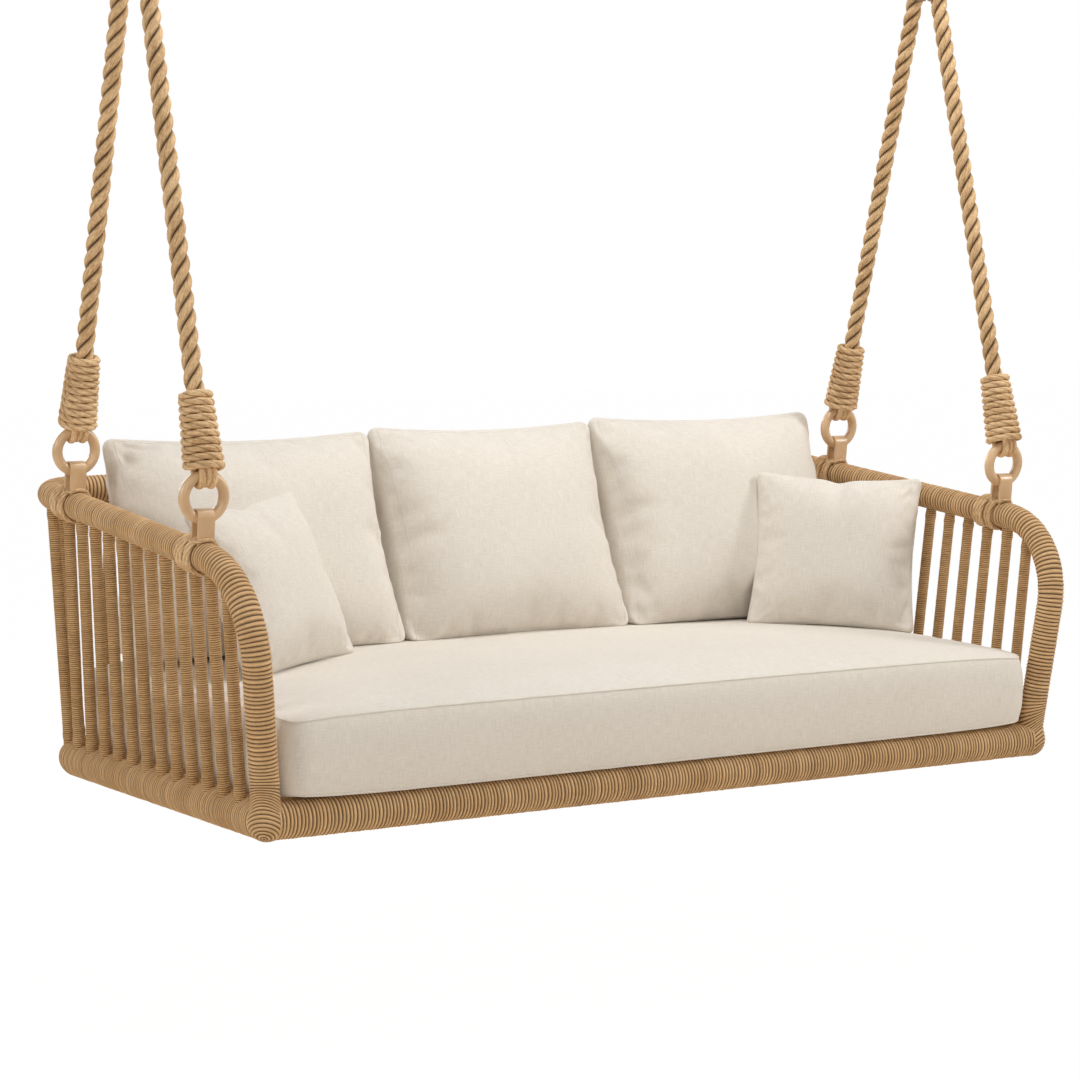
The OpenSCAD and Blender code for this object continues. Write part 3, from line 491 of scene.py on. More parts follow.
# %% Lines, lengths and directions
def lengths(line):
    """How far each point lies along a line."""
    return np.concatenate([[0], np.cumsum(np.linalg.norm(np.diff(line, axis=0), axis=1))])


def directions(line):
    return unit(np.gradient(line, axis=0))


def resampled(line, step):
    """The same line with evenly spaced points."""
    s = lengths(line)
    t = np.linspace(0, s[-1], max(2, int(math.ceil(s[-1] / step)) + 1))
    return np.stack([np.interp(t, s, line[:, c]) for c in range(3)], -1)


def carried_frame(line, first):
    """Two directions square to the line, carried along it without a twist."""
    way = directions(line)
    n = np.zeros_like(way)
    n[0] = unit(first - way[0] * np.dot(first, way[0]))
    for i in range(1, len(way)):
        n[i] = n[i - 1] - way[i] * np.dot(n[i - 1], way[i])
        n[i] /= np.linalg.norm(n[i])
    return way, n, np.cross(way, n)


def square_to(way, v):
    """The direction of v without its part along way."""
    return unit(v - way * np.sum(v * way, axis=1, keepdims=True))


def around(sides):
    """The angles of the points of a ring."""
    return np.linspace(0, 2 * math.pi, sides, endpoint=False)


def rings_round(line, radius, e1, e2, sides):
    """Rings of points round a line. The radius is a number, or one for each ring."""
    angle = around(sides)[None, :, None]
    radius = np.reshape(radius, (-1, 1, 1))
    return line[:, None] + radius * (np.cos(angle) * e1[:, None] + np.sin(angle) * e2[:, None])


def bent_line(corners, radii, step=2.0):
    """A line through corner points, with a round bend of its own radius at each inner corner."""
    corners = [np.asarray(c, float) for c in corners]
    points = [corners[0]]
    for i in range(1, len(corners) - 1):
        p, q, s, r = corners[i - 1], corners[i], corners[i + 1], radii[i]
        a, b = unit(p - q), unit(s - q)
        half = math.acos(np.clip(np.dot(a, b), -1, 1)) / 2
        cut = r / math.tan(half)
        centre = q + unit(a + b) * r / math.sin(half)
        e1 = unit(q + a * cut - centre)
        e2 = unit(np.cross(np.cross(e1, q + b * cut - centre), e1))
        sweep = math.pi - 2 * half
        turn = np.linspace(0, sweep, int(r * sweep / step) + 2)
        points += list(centre + r * (np.cos(turn)[:, None] * e1 + np.sin(turn)[:, None] * e2))
    points.append(corners[-1])
    return resampled(np.array(points), step)


print("a bend of 80 mm has", len(bent_line([[0, 0, 0], [200, 0, 0], [200, 200, 0]], [0, 80, 0])), "points")

# %% [markdown]
# ## The four ropes
# Each rope is a three-strand laid rope, 36 mm thick. The strands wind round one another like
# the middle stroke of the letter Z. A strand is a tube round a helix, and the helix is drawn
# round the rope's own line.

# %% Strands laid round a line
STRANDS = 3


def laid_cord(line, diameter, lay, sides, step, share, shade):
    """Strands wound round a line in millimetres, as parts for make_piece.

    The lay is one turn's length, share is a strand's radius against the cord's, and shade is
    how far the painted shade on a strand's inner side, where it lies against the others, reaches
    round it. The strands' fibres are shifted along one another, so that they don't look alike.
    """
    line = resampled(np.asarray(line, float), step)
    s = lengths(line)
    way, n, b = carried_frame(line, [0.0, 0.93, 0.37])
    strand_r = diameter / 2 * share
    offset = diameter / 2 - strand_r
    parts = []
    for k in range(STRANDS):
        turn = (2 * math.pi * s / lay + 2 * math.pi * k / STRANDS)[:, None]
        out = np.cos(turn) * n + np.sin(turn) * b
        centre = line + offset * out
        ahead = directions(centre)
        e1 = square_to(ahead, out)
        rings = rings_round(centre, strand_r, e1, np.cross(ahead, e1), sides)
        # Painted shade on the inner side of each strand, where it lies against the other strands.
        deep = np.clip((shade - np.cos(around(sides))) / 0.75, 0, 1)
        parts.append(sheath(placed(rings), s / 1000 + k * 0.37, 2 * math.pi * strand_r / 1000,
                            np.broadcast_to(deep, (len(line), sides))))
    return parts


piece_of_rope = laid_cord([[0, 0, 0], [0, 0, 100]], 36, lay=98, sides=18, step=5, share=0.50, shade=0.70)
print("three strands of a rope 100 mm long have", sum(len(part[0]) for part in piece_of_rope), "points")

# %% [markdown]
# A rope is taut: it runs straight from its ring up to a socket at the ceiling link, just above
# the picture, so its length is the distance between the two. Each rope belongs to a row, front
# or rear, and to a side of the sofa.

# %% The ropes
ROWS = ("front", "rear")
ROPE_D = 36
RING_TOP_ABOVE_RAIL, LINK_HEIGHT, LINK_HALF = 145, 1640, 15.3
ROPE_STARTS, ROPE_ENDS = 23.45, 58


def rope_line(row, sign):
    """The foot of a rope at its ring, its head at the ceiling link, and its direction."""
    foot = rail_at(LUG_Y[row]) + RING_TOP_ABOVE_RAIL * SQUARE
    head = np.array([ARM_X, HOOK_Y, LINK_HEIGHT]) + (-LINK_HALF if row == "front" else LINK_HALF) * ALONG
    way = unit(head - foot)
    mirror = np.array([sign, 1, 1])
    return foot * mirror, head * mirror, way * mirror


for side, sign in SIDES.items():
    for row in ROWS:
        foot, head, way = rope_line(row, sign)
        low, high = foot + way * ROPE_STARTS, head - way * ROPE_ENDS
        line = np.linspace(low, high, 24)
        strands = laid_cord(line, ROPE_D, lay=98, sides=18, step=5, share=0.50, shade=0.70)
        rope = make_piece(f"laid_rope_{row}_{side}", strands, ROPE)
        finish_piece(rope, f"{side}_ropes", "natural_rope", f"rope_{row}_{side}")

# %% [markdown]
# ## Eyes and whippings
# At its foot each rope opens into three thinner cords that pass round the ring's wire. A
# whipping binds them: ten turns of twisted cord, a little wider at the bottom.
# Both follow the construction model's lines, laid from strands here. The eye's cords are a
# little fuller, so that they touch.

# %% The lines of the eyes
EYE_BEND, EYE_APART, EYE_TOP, RING_INSIDE = 16.5, 11.4, 23.15, 29


def leaning(row):
    """The foot of a right rope, how far it leans back, and the turn that leans a line with it."""
    foot, head, way = rope_line(row, 1)
    lean = math.atan2(-way[1], way[2])
    c, s = math.cos(lean), math.sin(lean)
    return foot, lean, np.array([[1, 0, 0], [0, c, -s], [0, s, c]])


def eye_lines(row, sign):
    """Three lines under the wire of a ring. The outer two lie lower, as the ring curves away."""
    foot, lean, turn = leaning(row)
    bend = np.linspace(math.pi, 2 * math.pi, 19)
    arc = np.stack([np.zeros(19), EYE_BEND * np.cos(bend), EYE_BEND * np.sin(bend)], -1)
    lines = []
    for x in (-EYE_APART, 0, EYE_APART):
        sink = 1.15 * (RING_INSIDE - math.sqrt(RING_INSIDE * RING_INSIDE - x * x))
        top = EYE_TOP + sink * math.cos(lean + RISE)
        line = np.concatenate([[[0, -EYE_BEND, top]], arc, [[0, EYE_BEND, top]]])
        lines.append((foot + [x, 0, 0] - sink * SQUARE + line @ turn.T) * [sign, 1, 1])
    return lines


print("a rope leans back by", {row: round(math.degrees(leaning(row)[1]), 1) for row in ROWS}, "degrees")

# %% [markdown]
# Each turn of a whipping lies level in front and climbs to the next one at the back, as the
# photograph shows it. Its two ends are tucked in behind the turns. The eye and the whipping
# are separate pieces, and both move with the rope.

# %% Eyes and whippings
TURNS, TURN_WIDTH, FIRST_TURN, TURN_CORD = 10, 14.2, 14.8, 13.6
WHIPPING_FOOT, WHIPPING_TOP = 77.4, 62.4


def whipping_line(row, sign):
    """Level turns that climb at the back. At both ends the cord goes in behind the turns."""
    foot, lean, leaned = leaning(row)
    t = np.linspace(0, TURNS, 401)
    tucked = np.clip(1 - t / 0.12, 0, 1) ** 2 + np.clip(1 - (TURNS - t) / 0.12, 0, 1) ** 2
    level = np.minimum(np.floor(t), TURNS - 1)
    r = (WHIPPING_FOOT + t / TURNS * (WHIPPING_TOP - WHIPPING_FOOT) - TURN_CORD) / 2 - 13 * tucked
    turn = 2 * math.pi * (t + 0.25)
    climb = np.clip((t - level - 0.68) / 0.32, 0, 1) * (level < TURNS - 1)
    height = FIRST_TURN + TURN_WIDTH * (level + climb * climb * (3 - 2 * climb))
    height = height + 9 * tucked * np.where(t < TURNS / 2, 1, -1)
    line = np.stack([r * np.cos(turn), r * np.sin(turn), height], -1)
    return (foot + line @ leaned.T) * [sign, 1, 1]


for side, sign in SIDES.items():
    for row in ROWS:
        eye = []
        for line in eye_lines(row, sign):
            eye += laid_cord(line, 12.6, lay=150, sides=12, step=2.5, share=0.80, shade=0.16)
        finish_piece(make_piece(f"eye_cords_{row}_{side}", eye, WHIPPING), f"{side}_ropes", "whipping_cord",
                     f"rope_eye_{row}_{side}")
        wound = laid_cord(whipping_line(row, sign), 14.6, lay=70, sides=12, step=4.5, share=0.69, shade=0.59)
        finish_piece(make_piece(f"whipping_turns_{row}_{side}", wound, WHIPPING), f"{side}_ropes",
                     "whipping_cord", f"whipping_{row}_{side}")

# %% [markdown]
# ## Cord wound on the rails
# The base rails, the arm rails and the back rail are covered by a single layer of cord, wound
# tightly turn by turn. Each turn is a rib. Four rings of points draw one rib: the groove, two
# shoulders and the crest. The width of each turn and its lean vary a little, because the
# winding is done by hand. The random numbers are seeded, so each run gives the same ribs.

# %% Turns of cord along a line
# The four rings of one rib: their places in the turn, their heights and how much painted groove shade each
# gets.
RIB = np.array([0.0, 0.17, 0.5, 0.83])
RIB_HEIGHT = np.array([0.0, 0.80, 1.0, 0.76])
RIB_GROOVE_SHADE = np.array([1.0, 0.46, 0.0, 0.36])


def turns_along(total, pitch, rng):
    """The ends of the turns of cord along a length. The pitch is a number, or a function of the place."""
    edges = [0.0]
    while edges[-1] < total:
        p = pitch(edges[-1]) if callable(pitch) else pitch
        edges.append(edges[-1] + p * rng.uniform(0.92, 1.08))
    return np.array(edges) * total / edges[-1]


def ribs(edges, depth, rng):
    """Where the rings lie, how far each lies under the highest crest, and how much painted groove shade it
    gets.
    """
    width = np.diff(edges)
    place = np.append((edges[:-1, None] + width[:, None] * RIB).ravel(), edges[-1])
    crest = rng.uniform(-0.16, 0.06, len(width))
    height = RIB_HEIGHT + crest[:, None] * (RIB_HEIGHT > 0)
    sunk = np.append(((1 - height) * depth).ravel(), depth)
    # Each turn gets its own small extra amount of painted groove shade.
    shade = rng.uniform(0.0, 0.16, len(width))
    groove_shade = np.append(np.clip(RIB_GROOVE_SHADE + shade[:, None], 0, 1).ravel(), 1.0)
    return place, sunk, groove_shade


print("turns of 7 mm cord on 100 mm:", len(turns_along(100, 7, np.random.default_rng(1))) - 1)

# %% [markdown]
# A winding puts these ribs on a line. A turn of cord is never quite square to the tube, so each
# one leans by its own small amounts. At a slat's ends a collar makes the turns thicker.

# %% A wound tube
def turn_leans(edges, place, lean, rng):
    """How far each ring leans along the tube, in two directions. Each turn has its own lean."""
    centres = (edges[:-1] + edges[1:]) / 2
    return [np.interp(place, centres, rng.normal(0, lean, len(centres))) for _ in range(2)]


def between(place, s, values):
    """Values given at the lengths s along a line, taken at other lengths."""
    return np.stack([np.interp(place, s, values[:, c]) for c in range(3)], -1)


def leaning_rings(line, radius, way, n, b, leans, sides):
    """Rings round the points of a line, each leaning along it by its own two amounts."""
    angle = around(sides)[None, :, None]
    lean = leans[0][:, None, None] * np.cos(angle) + leans[1][:, None, None] * np.sin(angle)
    return rings_round(line, radius, n, b, sides) + way[:, None] * lean


def wound_tube(line, radius, pitch, depth, sides, seed, first=(0.31, 0.2, 0.93), lean=0.5, collar=0.0):
    """A cord-wrapped tube along a line in millimetres, as one part for make_piece.

    lean is how unevenly the turns lie, and collar how much thicker they are near both ends.
    """
    rng = np.random.default_rng(seed)
    s = lengths(line)
    edges = turns_along(s[-1], pitch, rng)
    place, sunk, groove_shade = ribs(edges, depth, rng)
    leans = turn_leans(edges, place, lean, rng)
    way, n, b = (unit(between(place, s, v)) for v in carried_frame(line, first))
    near_end = np.minimum(place, s[-1] - place)
    r = radius - sunk + collar * np.exp(-((near_end - 26) / 7.0) ** 2)
    rings = leaning_rings(between(place, s, line), r, way, n, b, leans, sides)
    return sheath(placed(rings), place / 1000, 2 * math.pi * radius / 1000, groove_shade)


short_line = resampled(np.array([[0.0, 0, 0], [100, 0, 0]]), 4)
print("100 mm of winding has", len(wound_tube(short_line, BASE_R, 7.4, 3.3, sides=30, seed=1)[0]), "points")

# %% [markdown]
# The base has a straight rail in front and one behind. Each side rail bends round its rear
# corner and meets the rear rail there, within a few tenths of a millimetre. In front all ends
# are hidden in the feet of the arms.

# %% Base rails
BASE_CORD, ARM_POST_CORD, ARM_TOP_CORD = 7.4, 7.7, 8.6
BASE_GROOVE, ARM_GROOVE = 3.3, 2.7


def level_line(x, y, z):
    """A line from the left side to the right one."""
    return resampled(np.array([[-x, y, z], [x, y, z]]), 4)


def wind_base_rail(name, line, seed, where):
    part = wound_tube(line, BASE_R, BASE_CORD, BASE_GROOVE, sides=30, seed=seed)
    finish_piece(make_piece(name, [part], RAILS), "sofa", "wound_cord_rails", f"base_cover_{where}")


wind_base_rail("front_rail_winding", level_line(876.0, 0, 0), 11, "front")
wind_base_rail("rear_rail_winding", level_line(804.2, BASE_REAR, 0), 12, "rear")
for side, sign in SIDES.items():
    corners = [[sign * BASE_X, 8, 0], [sign * BASE_X, BASE_REAR, 0], [sign * 803.9, BASE_REAR, 0]]
    wind_base_rail(f"side_rail_winding_{side}", bent_line(corners, [0, 79.9, 0]), 13 + sign, side)

# %% [markdown]
# The foot of each arm is special. The post ends in a ball that closes the corner of the base.
# The turns of cord tip over as they come down, and close round a point under the ball's outer
# side. Here each turn is a tilted plane that cuts the rounded union of the post and the ball,
# and the cut is found by halving steps along each ray.

# %% The foot of an arm
BALL_R, BALL_CORD, BALL_GROOVE, BLEND = 36, 7.5, 2.6, 9.0
TIPPED_LENGTH = 118.0
FOOT_FIRST = np.array([0.0, -1.0, 0.15])


def union_radius(q, e, centre, up):
    """How far each ray from q along e goes before it leaves the ball and the post above it."""
    low, high = np.zeros(e.shape[:2]), np.full(e.shape[:2], 60.0)
    for _ in range(22):
        r = (low + high) / 2
        p = q[:, None] + r[..., None] * e - centre
        ball = np.linalg.norm(p, axis=-1) - BALL_R
        h = np.clip(np.sum(p * up, axis=-1), 0, None)
        post = np.linalg.norm(p - h[..., None] * up, axis=-1) - ARM_R
        m = np.clip(0.5 + 0.5 * (post - ball) / BLEND, 0, 1)
        value = post * (1 - m) + ball * m - BLEND * m * (1 - m)
        low, high = np.where(value < 0, r, low), np.where(value < 0, high, r)
    return (low + high) / 2


def arm_foot_part(centre, up, out, sides, seed):
    """The rings of a foot, their places along the winding and their painted groove shade values."""
    rng = np.random.default_rng(seed)
    pole_edges = turns_along(BALL_R * math.pi / 2, BALL_CORD, rng)
    post_edges = turns_along(TIPPED_LENGTH, BALL_CORD, rng)
    equator = pole_edges[-1]
    place, sunk, groove_shade = ribs(np.concatenate([pole_edges, equator + post_edges[1:]]), BALL_GROOVE, rng)
    q, normal = [], []
    for s in place:
        if s < equator:
            q.append(centre + out * BALL_R * math.cos(max(s, 2.2) / BALL_R))
            normal.append(-out)
        else:
            t = s - equator
            f = min(1, t / (TIPPED_LENGTH * 0.96))
            f = f * f * (3 - 2 * f)
            q.append(centre + up * t)
            normal.append(unit(-out * (1 - f) + up * f))
    q, normal = np.array(q), np.array(normal)
    e1 = square_to(normal, FOOT_FIRST)
    e2 = np.cross(normal, e1)
    angle = around(sides)[None, :, None]
    e = np.cos(angle) * e1[:, None] + np.sin(angle) * e2[:, None]
    r = np.maximum(union_radius(q, e, centre, up) - sunk[:, None], 1.5)
    return q[:, None] + r[..., None] * e, place, groove_shade


print("the ball has a radius of", BALL_R, "mm and the post one of", ARM_R, "mm")

# %% [markdown]
# Above its foot the winding goes on in one piece: up the post, round the bend and along the arm
# rail to the end of the back rail. The cord of the posts lies a little closer than that of the
# rails above.

# %% Arm rails and back rail
TOP_CORD_LENGTH = 1010


def arm_winding(sign, sides=28):
    """The foot, the post and the arm rail of one side in a single winding."""
    foot, corner, rear = arm_corners(sign)
    up = unit(corner - foot)
    out = unit(np.array([sign * 0.42, -0.52, -0.76]))
    foot_rings, foot_place, foot_groove_shade = arm_foot_part(foot, up, out, sides, 31 + sign)
    line = bent_line([foot + up * TIPPED_LENGTH, corner, rear, [sign * 850.5, ARM_REAR, ARM_HIGH]],
                     [0, BEND_R, 79.9, 0])
    rng = np.random.default_rng(41 + sign)
    s = lengths(line)
    post_end = s[-1] - TOP_CORD_LENGTH
    edges = turns_along(s[-1], lambda x: ARM_POST_CORD if x < post_end else ARM_TOP_CORD, rng)
    place, sunk, groove_shade = ribs(edges, ARM_GROOVE, rng)
    fade = np.clip(place / 40, 0, 1)
    leans = [fade * lean for lean in turn_leans(edges, place, 0.5, rng)]
    way, n, b = (between(place, s, v) for v in carried_frame(line, FOOT_FIRST))
    rings = leaning_rings(between(place, s, line), ARM_R - sunk, way, n, b, leans, sides)
    rings = np.concatenate([foot_rings[:-1], rings])
    place = np.concatenate([foot_place[:-1], foot_place[-1] + place])
    groove_shade = np.concatenate([foot_groove_shade[:-1], groove_shade])
    return sheath(placed(rings), place / 1000, 2 * math.pi * ARM_R / 1000, groove_shade)


for side, sign in SIDES.items():
    arm = make_piece(f"arm_winding_{side}", [arm_winding(sign)], RAILS)
    finish_piece(arm, "sofa", "wound_cord_rails", f"arm_cover_{side}")
back_line = level_line(850.2, ARM_REAR, ARM_HIGH)
back_rail = wound_tube(back_line, ARM_R, ARM_TOP_CORD, ARM_GROOVE, sides=26, seed=17)
finish_piece(make_piece("back_rail_winding", [back_rail], RAILS), "sofa", "wound_cord_rails", "back_cover")

# %% [markdown]
# ## Slats
# Thin rods stand between the base and the arm rails, fourteen on each side and twenty-five at
# the back. They are wound with thinner cord, so their ribs are finer. A slat's ends go into
# the windings of the rails, and the last turns there are a little thicker, where the cord is
# tied off.

# %% Where the side slats stand
FIRST_SLAT, BASE_PITCH, TOP_PITCH, SLAT_OUT = 73.0, 64.5, 62.0, 12.0


def arm_line(y):
    """The point of the right arm's centre line at a place from front to back, bend included."""
    foot, corner, rear = arm_corners(1)
    a, b = unit(foot - corner), unit(rear - corner)
    cut = BEND_R / math.tan(math.acos(np.dot(a, b)) / 2)
    bend_end = ARM_FRONT + cut * math.cos(RISE)
    if y >= bend_end:
        return rail_at(y)
    turn = math.asin(min(1, (bend_end - y) / BEND_R))
    drop = BEND_R * (1 - math.cos(turn))
    return np.array([ARM_X - drop * (ARM_X - BASE_X) / ARM_LOW, y, rail_at(y)[2] - drop])


def side_slat_ends():
    """The foot and the head of each slat of the right side, from the front round the rear corner."""
    corner_y = BASE_REAR - CORNER_R
    straight = int((corner_y - FIRST_SLAT) // BASE_PITCH) + 1
    first_top = LUG_Y["front"] - 1.5 * TOP_PITCH
    ends = [(np.array([BASE_X + SLAT_OUT, FIRST_SLAT + i * BASE_PITCH, 0]),
             arm_line(first_top + i * TOP_PITCH)) for i in range(straight)]
    turn_r = CORNER_R + SLAT_OUT
    step = math.degrees(BASE_PITCH / turn_r)
    a = math.degrees((FIRST_SLAT + straight * BASE_PITCH - corner_y) / turn_r)
    while a <= 80:
        outward = np.array([math.cos(math.radians(a)), math.sin(math.radians(a)), 0])
        ends.append((np.array([BASE_X - CORNER_R, corner_y, 0]) + turn_r * outward,
                     np.array([ARM_X - CORNER_R, ARM_REAR - CORNER_R, ARM_HIGH - 4]) + CORNER_R * outward))
        a += step
    return ends


slat_ends = side_slat_ends()
print(len(slat_ends), "slats a side")

# %% [markdown]
# Each slat has its own seed, so that no two are wound alike. The slats of a side make one piece.
# The row at the back is cut into two, so that neither piece has too many faces.

# %% Wound slats
SLAT_R, SLAT_CORD, SLAT_GROOVE, BACK_SLATS = 11.5, 4.1, 1.3, 25


def wound_slat(foot, head, seed):
    """The winding of one slat. Both its ends stop inside the windings of the rails."""
    way = unit(head - foot)
    line = resampled(np.array([foot + way * 19, head - way * 15]), 6)
    return wound_tube(line, SLAT_R, SLAT_CORD, SLAT_GROOVE, sides=14, seed=seed,
                      first=(0.2, -0.97, 0.0), lean=0.35, collar=1.1)


for side, sign in SIDES.items():
    mirror = np.array([sign, 1, 1])
    parts = [wound_slat(f * mirror, h * mirror, 100 + 20 * sign + i) for i, (f, h) in enumerate(slat_ends)]
    finish_piece(make_piece(f"side_slat_windings_{side}", parts, SLATS), "sofa", "wound_cord_slats",
                 f"side_slats_{side}")
back_reach = BASE_X - CORNER_R - 23
back_xs = np.linspace(-back_reach, back_reach, BACK_SLATS)
for half, xs in (("left", back_xs[:13]), ("right", back_xs[13:])):
    parts = [wound_slat(np.array([x, BASE_REAR + SLAT_OUT, 0]), np.array([x, ARM_REAR, ARM_HIGH]),
                        200 + int(x) % 997) for x in xs]
    finish_piece(make_piece(f"back_slat_windings_{half}", parts, SLATS), "sofa", "wound_cord_slats",
                 "back_slats_row")
print(len(back_xs), "slats at the back")

# %% [markdown]
# ## Lugs and their lashings
# A lug is a flat strap, bent over the lower side of its ring and let into the rail. Its edges
# are rounded over, which the eye reads in the highlight along them. The construction model's
# strap is copied, its loose triangles are merged, and a bevel rounds the sharp edges. The
# same is done to the plates and sockets at the ceiling.

# %% Rounded edges on a copy of a node
def only_selected(piece):
    """Selects one object alone and makes it the active one, as the operators want it."""
    bpy.ops.object.select_all(action="DESELECT")
    piece.select_set(True)
    bpy.context.view_layer.objects.active = piece


def softened(node, width, material, body, slot_name, segments=3):
    """A finished copy of a node, with its loose triangles merged and its sharp edges rounded."""
    piece = add_object(f"{node}_finished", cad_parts[node].data.copy())
    only_selected(piece)
    bpy.ops.object.mode_set(mode="EDIT")
    bpy.ops.mesh.select_all(action="SELECT")
    bpy.ops.mesh.remove_doubles(threshold=0.00002)
    bpy.ops.mesh.normals_make_consistent(inside=False)
    bpy.ops.mesh.dissolve_limited(angle_limit=math.radians(1.0))
    bpy.ops.object.mode_set(mode="OBJECT")
    bevel = piece.modifiers.new("rounded_edges", "BEVEL")
    bevel.width, bevel.segments = width, segments
    bevel.limit_method, bevel.angle_limit = "ANGLE", math.radians(42)
    bevel.harden_normals = False
    bpy.ops.object.modifier_apply(modifier="rounded_edges")
    bpy.ops.object.shade_smooth_by_angle(angle=math.radians(40))
    piece.data.materials.clear()
    piece.data.materials.append(material)
    piece.select_set(False)
    finish_piece(piece, body, slot_name, node)


for side in SIDES:
    for row in ROWS:
        softened(f"lug_{row}_{side}", 0.0023, BEIGE_COAT, "sofa", "beige_coated_fittings", segments=4)

# %% [markdown]
# Under each lug two turns of twisted cord go round the rail, between the strap's legs. Three
# more lie just behind it, and a short length is tied round the strap's foot. All are laid
# from three strands, like the whippings.

# %% Lashings round the rails
def on_rail(points, y, sign):
    """Points given across, along and square to the arm rail, at a place on it."""
    out = rail_at(y) + points[:, :1] * [1, 0, 0] + points[:, 1:2] * ALONG + points[:, 2:] * SQUARE
    return out * [sign, 1, 1]


def lashing_turns(count, at, pitch, radius):
    """Turns round the rail, centred at a distance along it."""
    t = np.linspace(0, count, int(count * 36))
    return np.stack([radius * np.sin(2 * math.pi * t), at + pitch * (t - count / 2),
                     -radius * np.cos(2 * math.pi * t)], -1)


def foot_tie(radius_x, radius_y, height):
    """A ring of cord round the strap's foot, which droops over the rail at both sides."""
    t = np.linspace(-0.06, 1.06, 40)
    droop = height - 6.5 * np.abs(np.sin(2 * math.pi * t)) ** 1.5
    return np.stack([radius_x * np.sin(2 * math.pi * t), -radius_y * np.cos(2 * math.pi * t), droop], -1)


# The line of each cord, its diameter, its lay, its sides, its step and a strand's share.
TIES = ((lashing_turns(2, 0, 9.6, 31.8), 9.4, 62, 9, 4, 0.72),
        (lashing_turns(3, 32, 9.9, 31.0), 10.4, 66, 9, 4, 0.72),
        (foot_tie(20.5, 20.0, 32.5), 7.6, 44, 8, 3, 0.70))
lashings = []
for sign in SIDES.values():
    for y in LUG_Y.values():
        for points, diameter, lay, sides, step, share in TIES:
            lashings += laid_cord(on_rail(points, y, sign), diameter, lay, sides, step, share, shade=0.5)
finish_piece(make_piece("lug_lashing_cords", lashings, WHIPPING), "sofa", "whipping_cord", "lug_lashings")

# %% [markdown]
# ## Ceiling fittings, tubes and deck
# These parts keep the construction model's shapes. The plates, links and sockets get rounded
# edges, and every node gets a finish of its own kind: satin paint, bare pin steel, the beige
# coat of the rings, and oiled wood for the bars that carry the seat.

# %% Fittings and inner parts
for side in SIDES:
    softened(f"ceiling_bracket_{side}", 0.0012, FITTING_COAT, "ceiling", "painted_fittings")
    softened(f"swing_link_{side}", 0.0010, FITTING_COAT, f"{side}_link", "painted_fittings")
    for row in ROWS:
        softened(f"rope_socket_{row}_{side}", 0.0008, FITTING_COAT, f"{side}_ropes", "painted_fittings",
                 segments=2)

NODE_FINISH = (
    (PIN_STEEL, ["swing_pins", "sway_pin_left", "sway_pin_right"]),
    (WOOD, ["deck_bars", "slat_rods"]),
    (TUBE_COAT, ["deck_bearer", "back_tube", "arm_tube_left", "arm_tube_right"]
     + [f"base_tube_{where}" for where in ("front", "rear", "left", "right")]),
    (BEIGE_COAT, [f"ring_{row}_{side}" for row in ROWS for side in SIDES]),
)
for material, nodes in NODE_FINISH:
    for node in nodes:
        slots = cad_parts[node].data.materials
        slots.clear()
        slots.append(material)
print("finished nodes:", sum(len(nodes) for material, nodes in NODE_FINISH))

# %% [markdown]
# ## Cushions
# A cushion is two panels of linen sewn round their edges and stuffed, so it is fullest in
# the middle and its edges draw in between the corners. It starts from the construction
# model's own form with many more faces. A cloth simulation then lets the panels, cut a touch
# larger than the form, swell under pressure with the seam held. That makes the soft puckers
# along the seams. How far a point may move is limited, so the cushion keeps its space.

# %% The fullness of a panel
def crown(u):
    """How full a panel is from one edge, -1, to the other, 1. It is 1 in the middle and 0 at both."""
    return np.maximum(0, 1 - np.abs(u) ** 3) ** 0.7


def spread(n):
    """Places from -1 to 1 that lie closer together towards both ends."""
    u = 2 * np.arange(n + 1) / n - 1
    return np.sin(np.pi / 2 * u) * 0.6 + u * 0.4


print("fullness from an edge to the middle:", crown(np.linspace(-1, 0, 5)).round(2))

# %% [markdown]
# The two panels are grids of points, and a few rows of points round the rim join them. All
# faces have four sides, which smooth well. The UV map is in metres, so that the threads of the
# linen have their real size on every cushion.

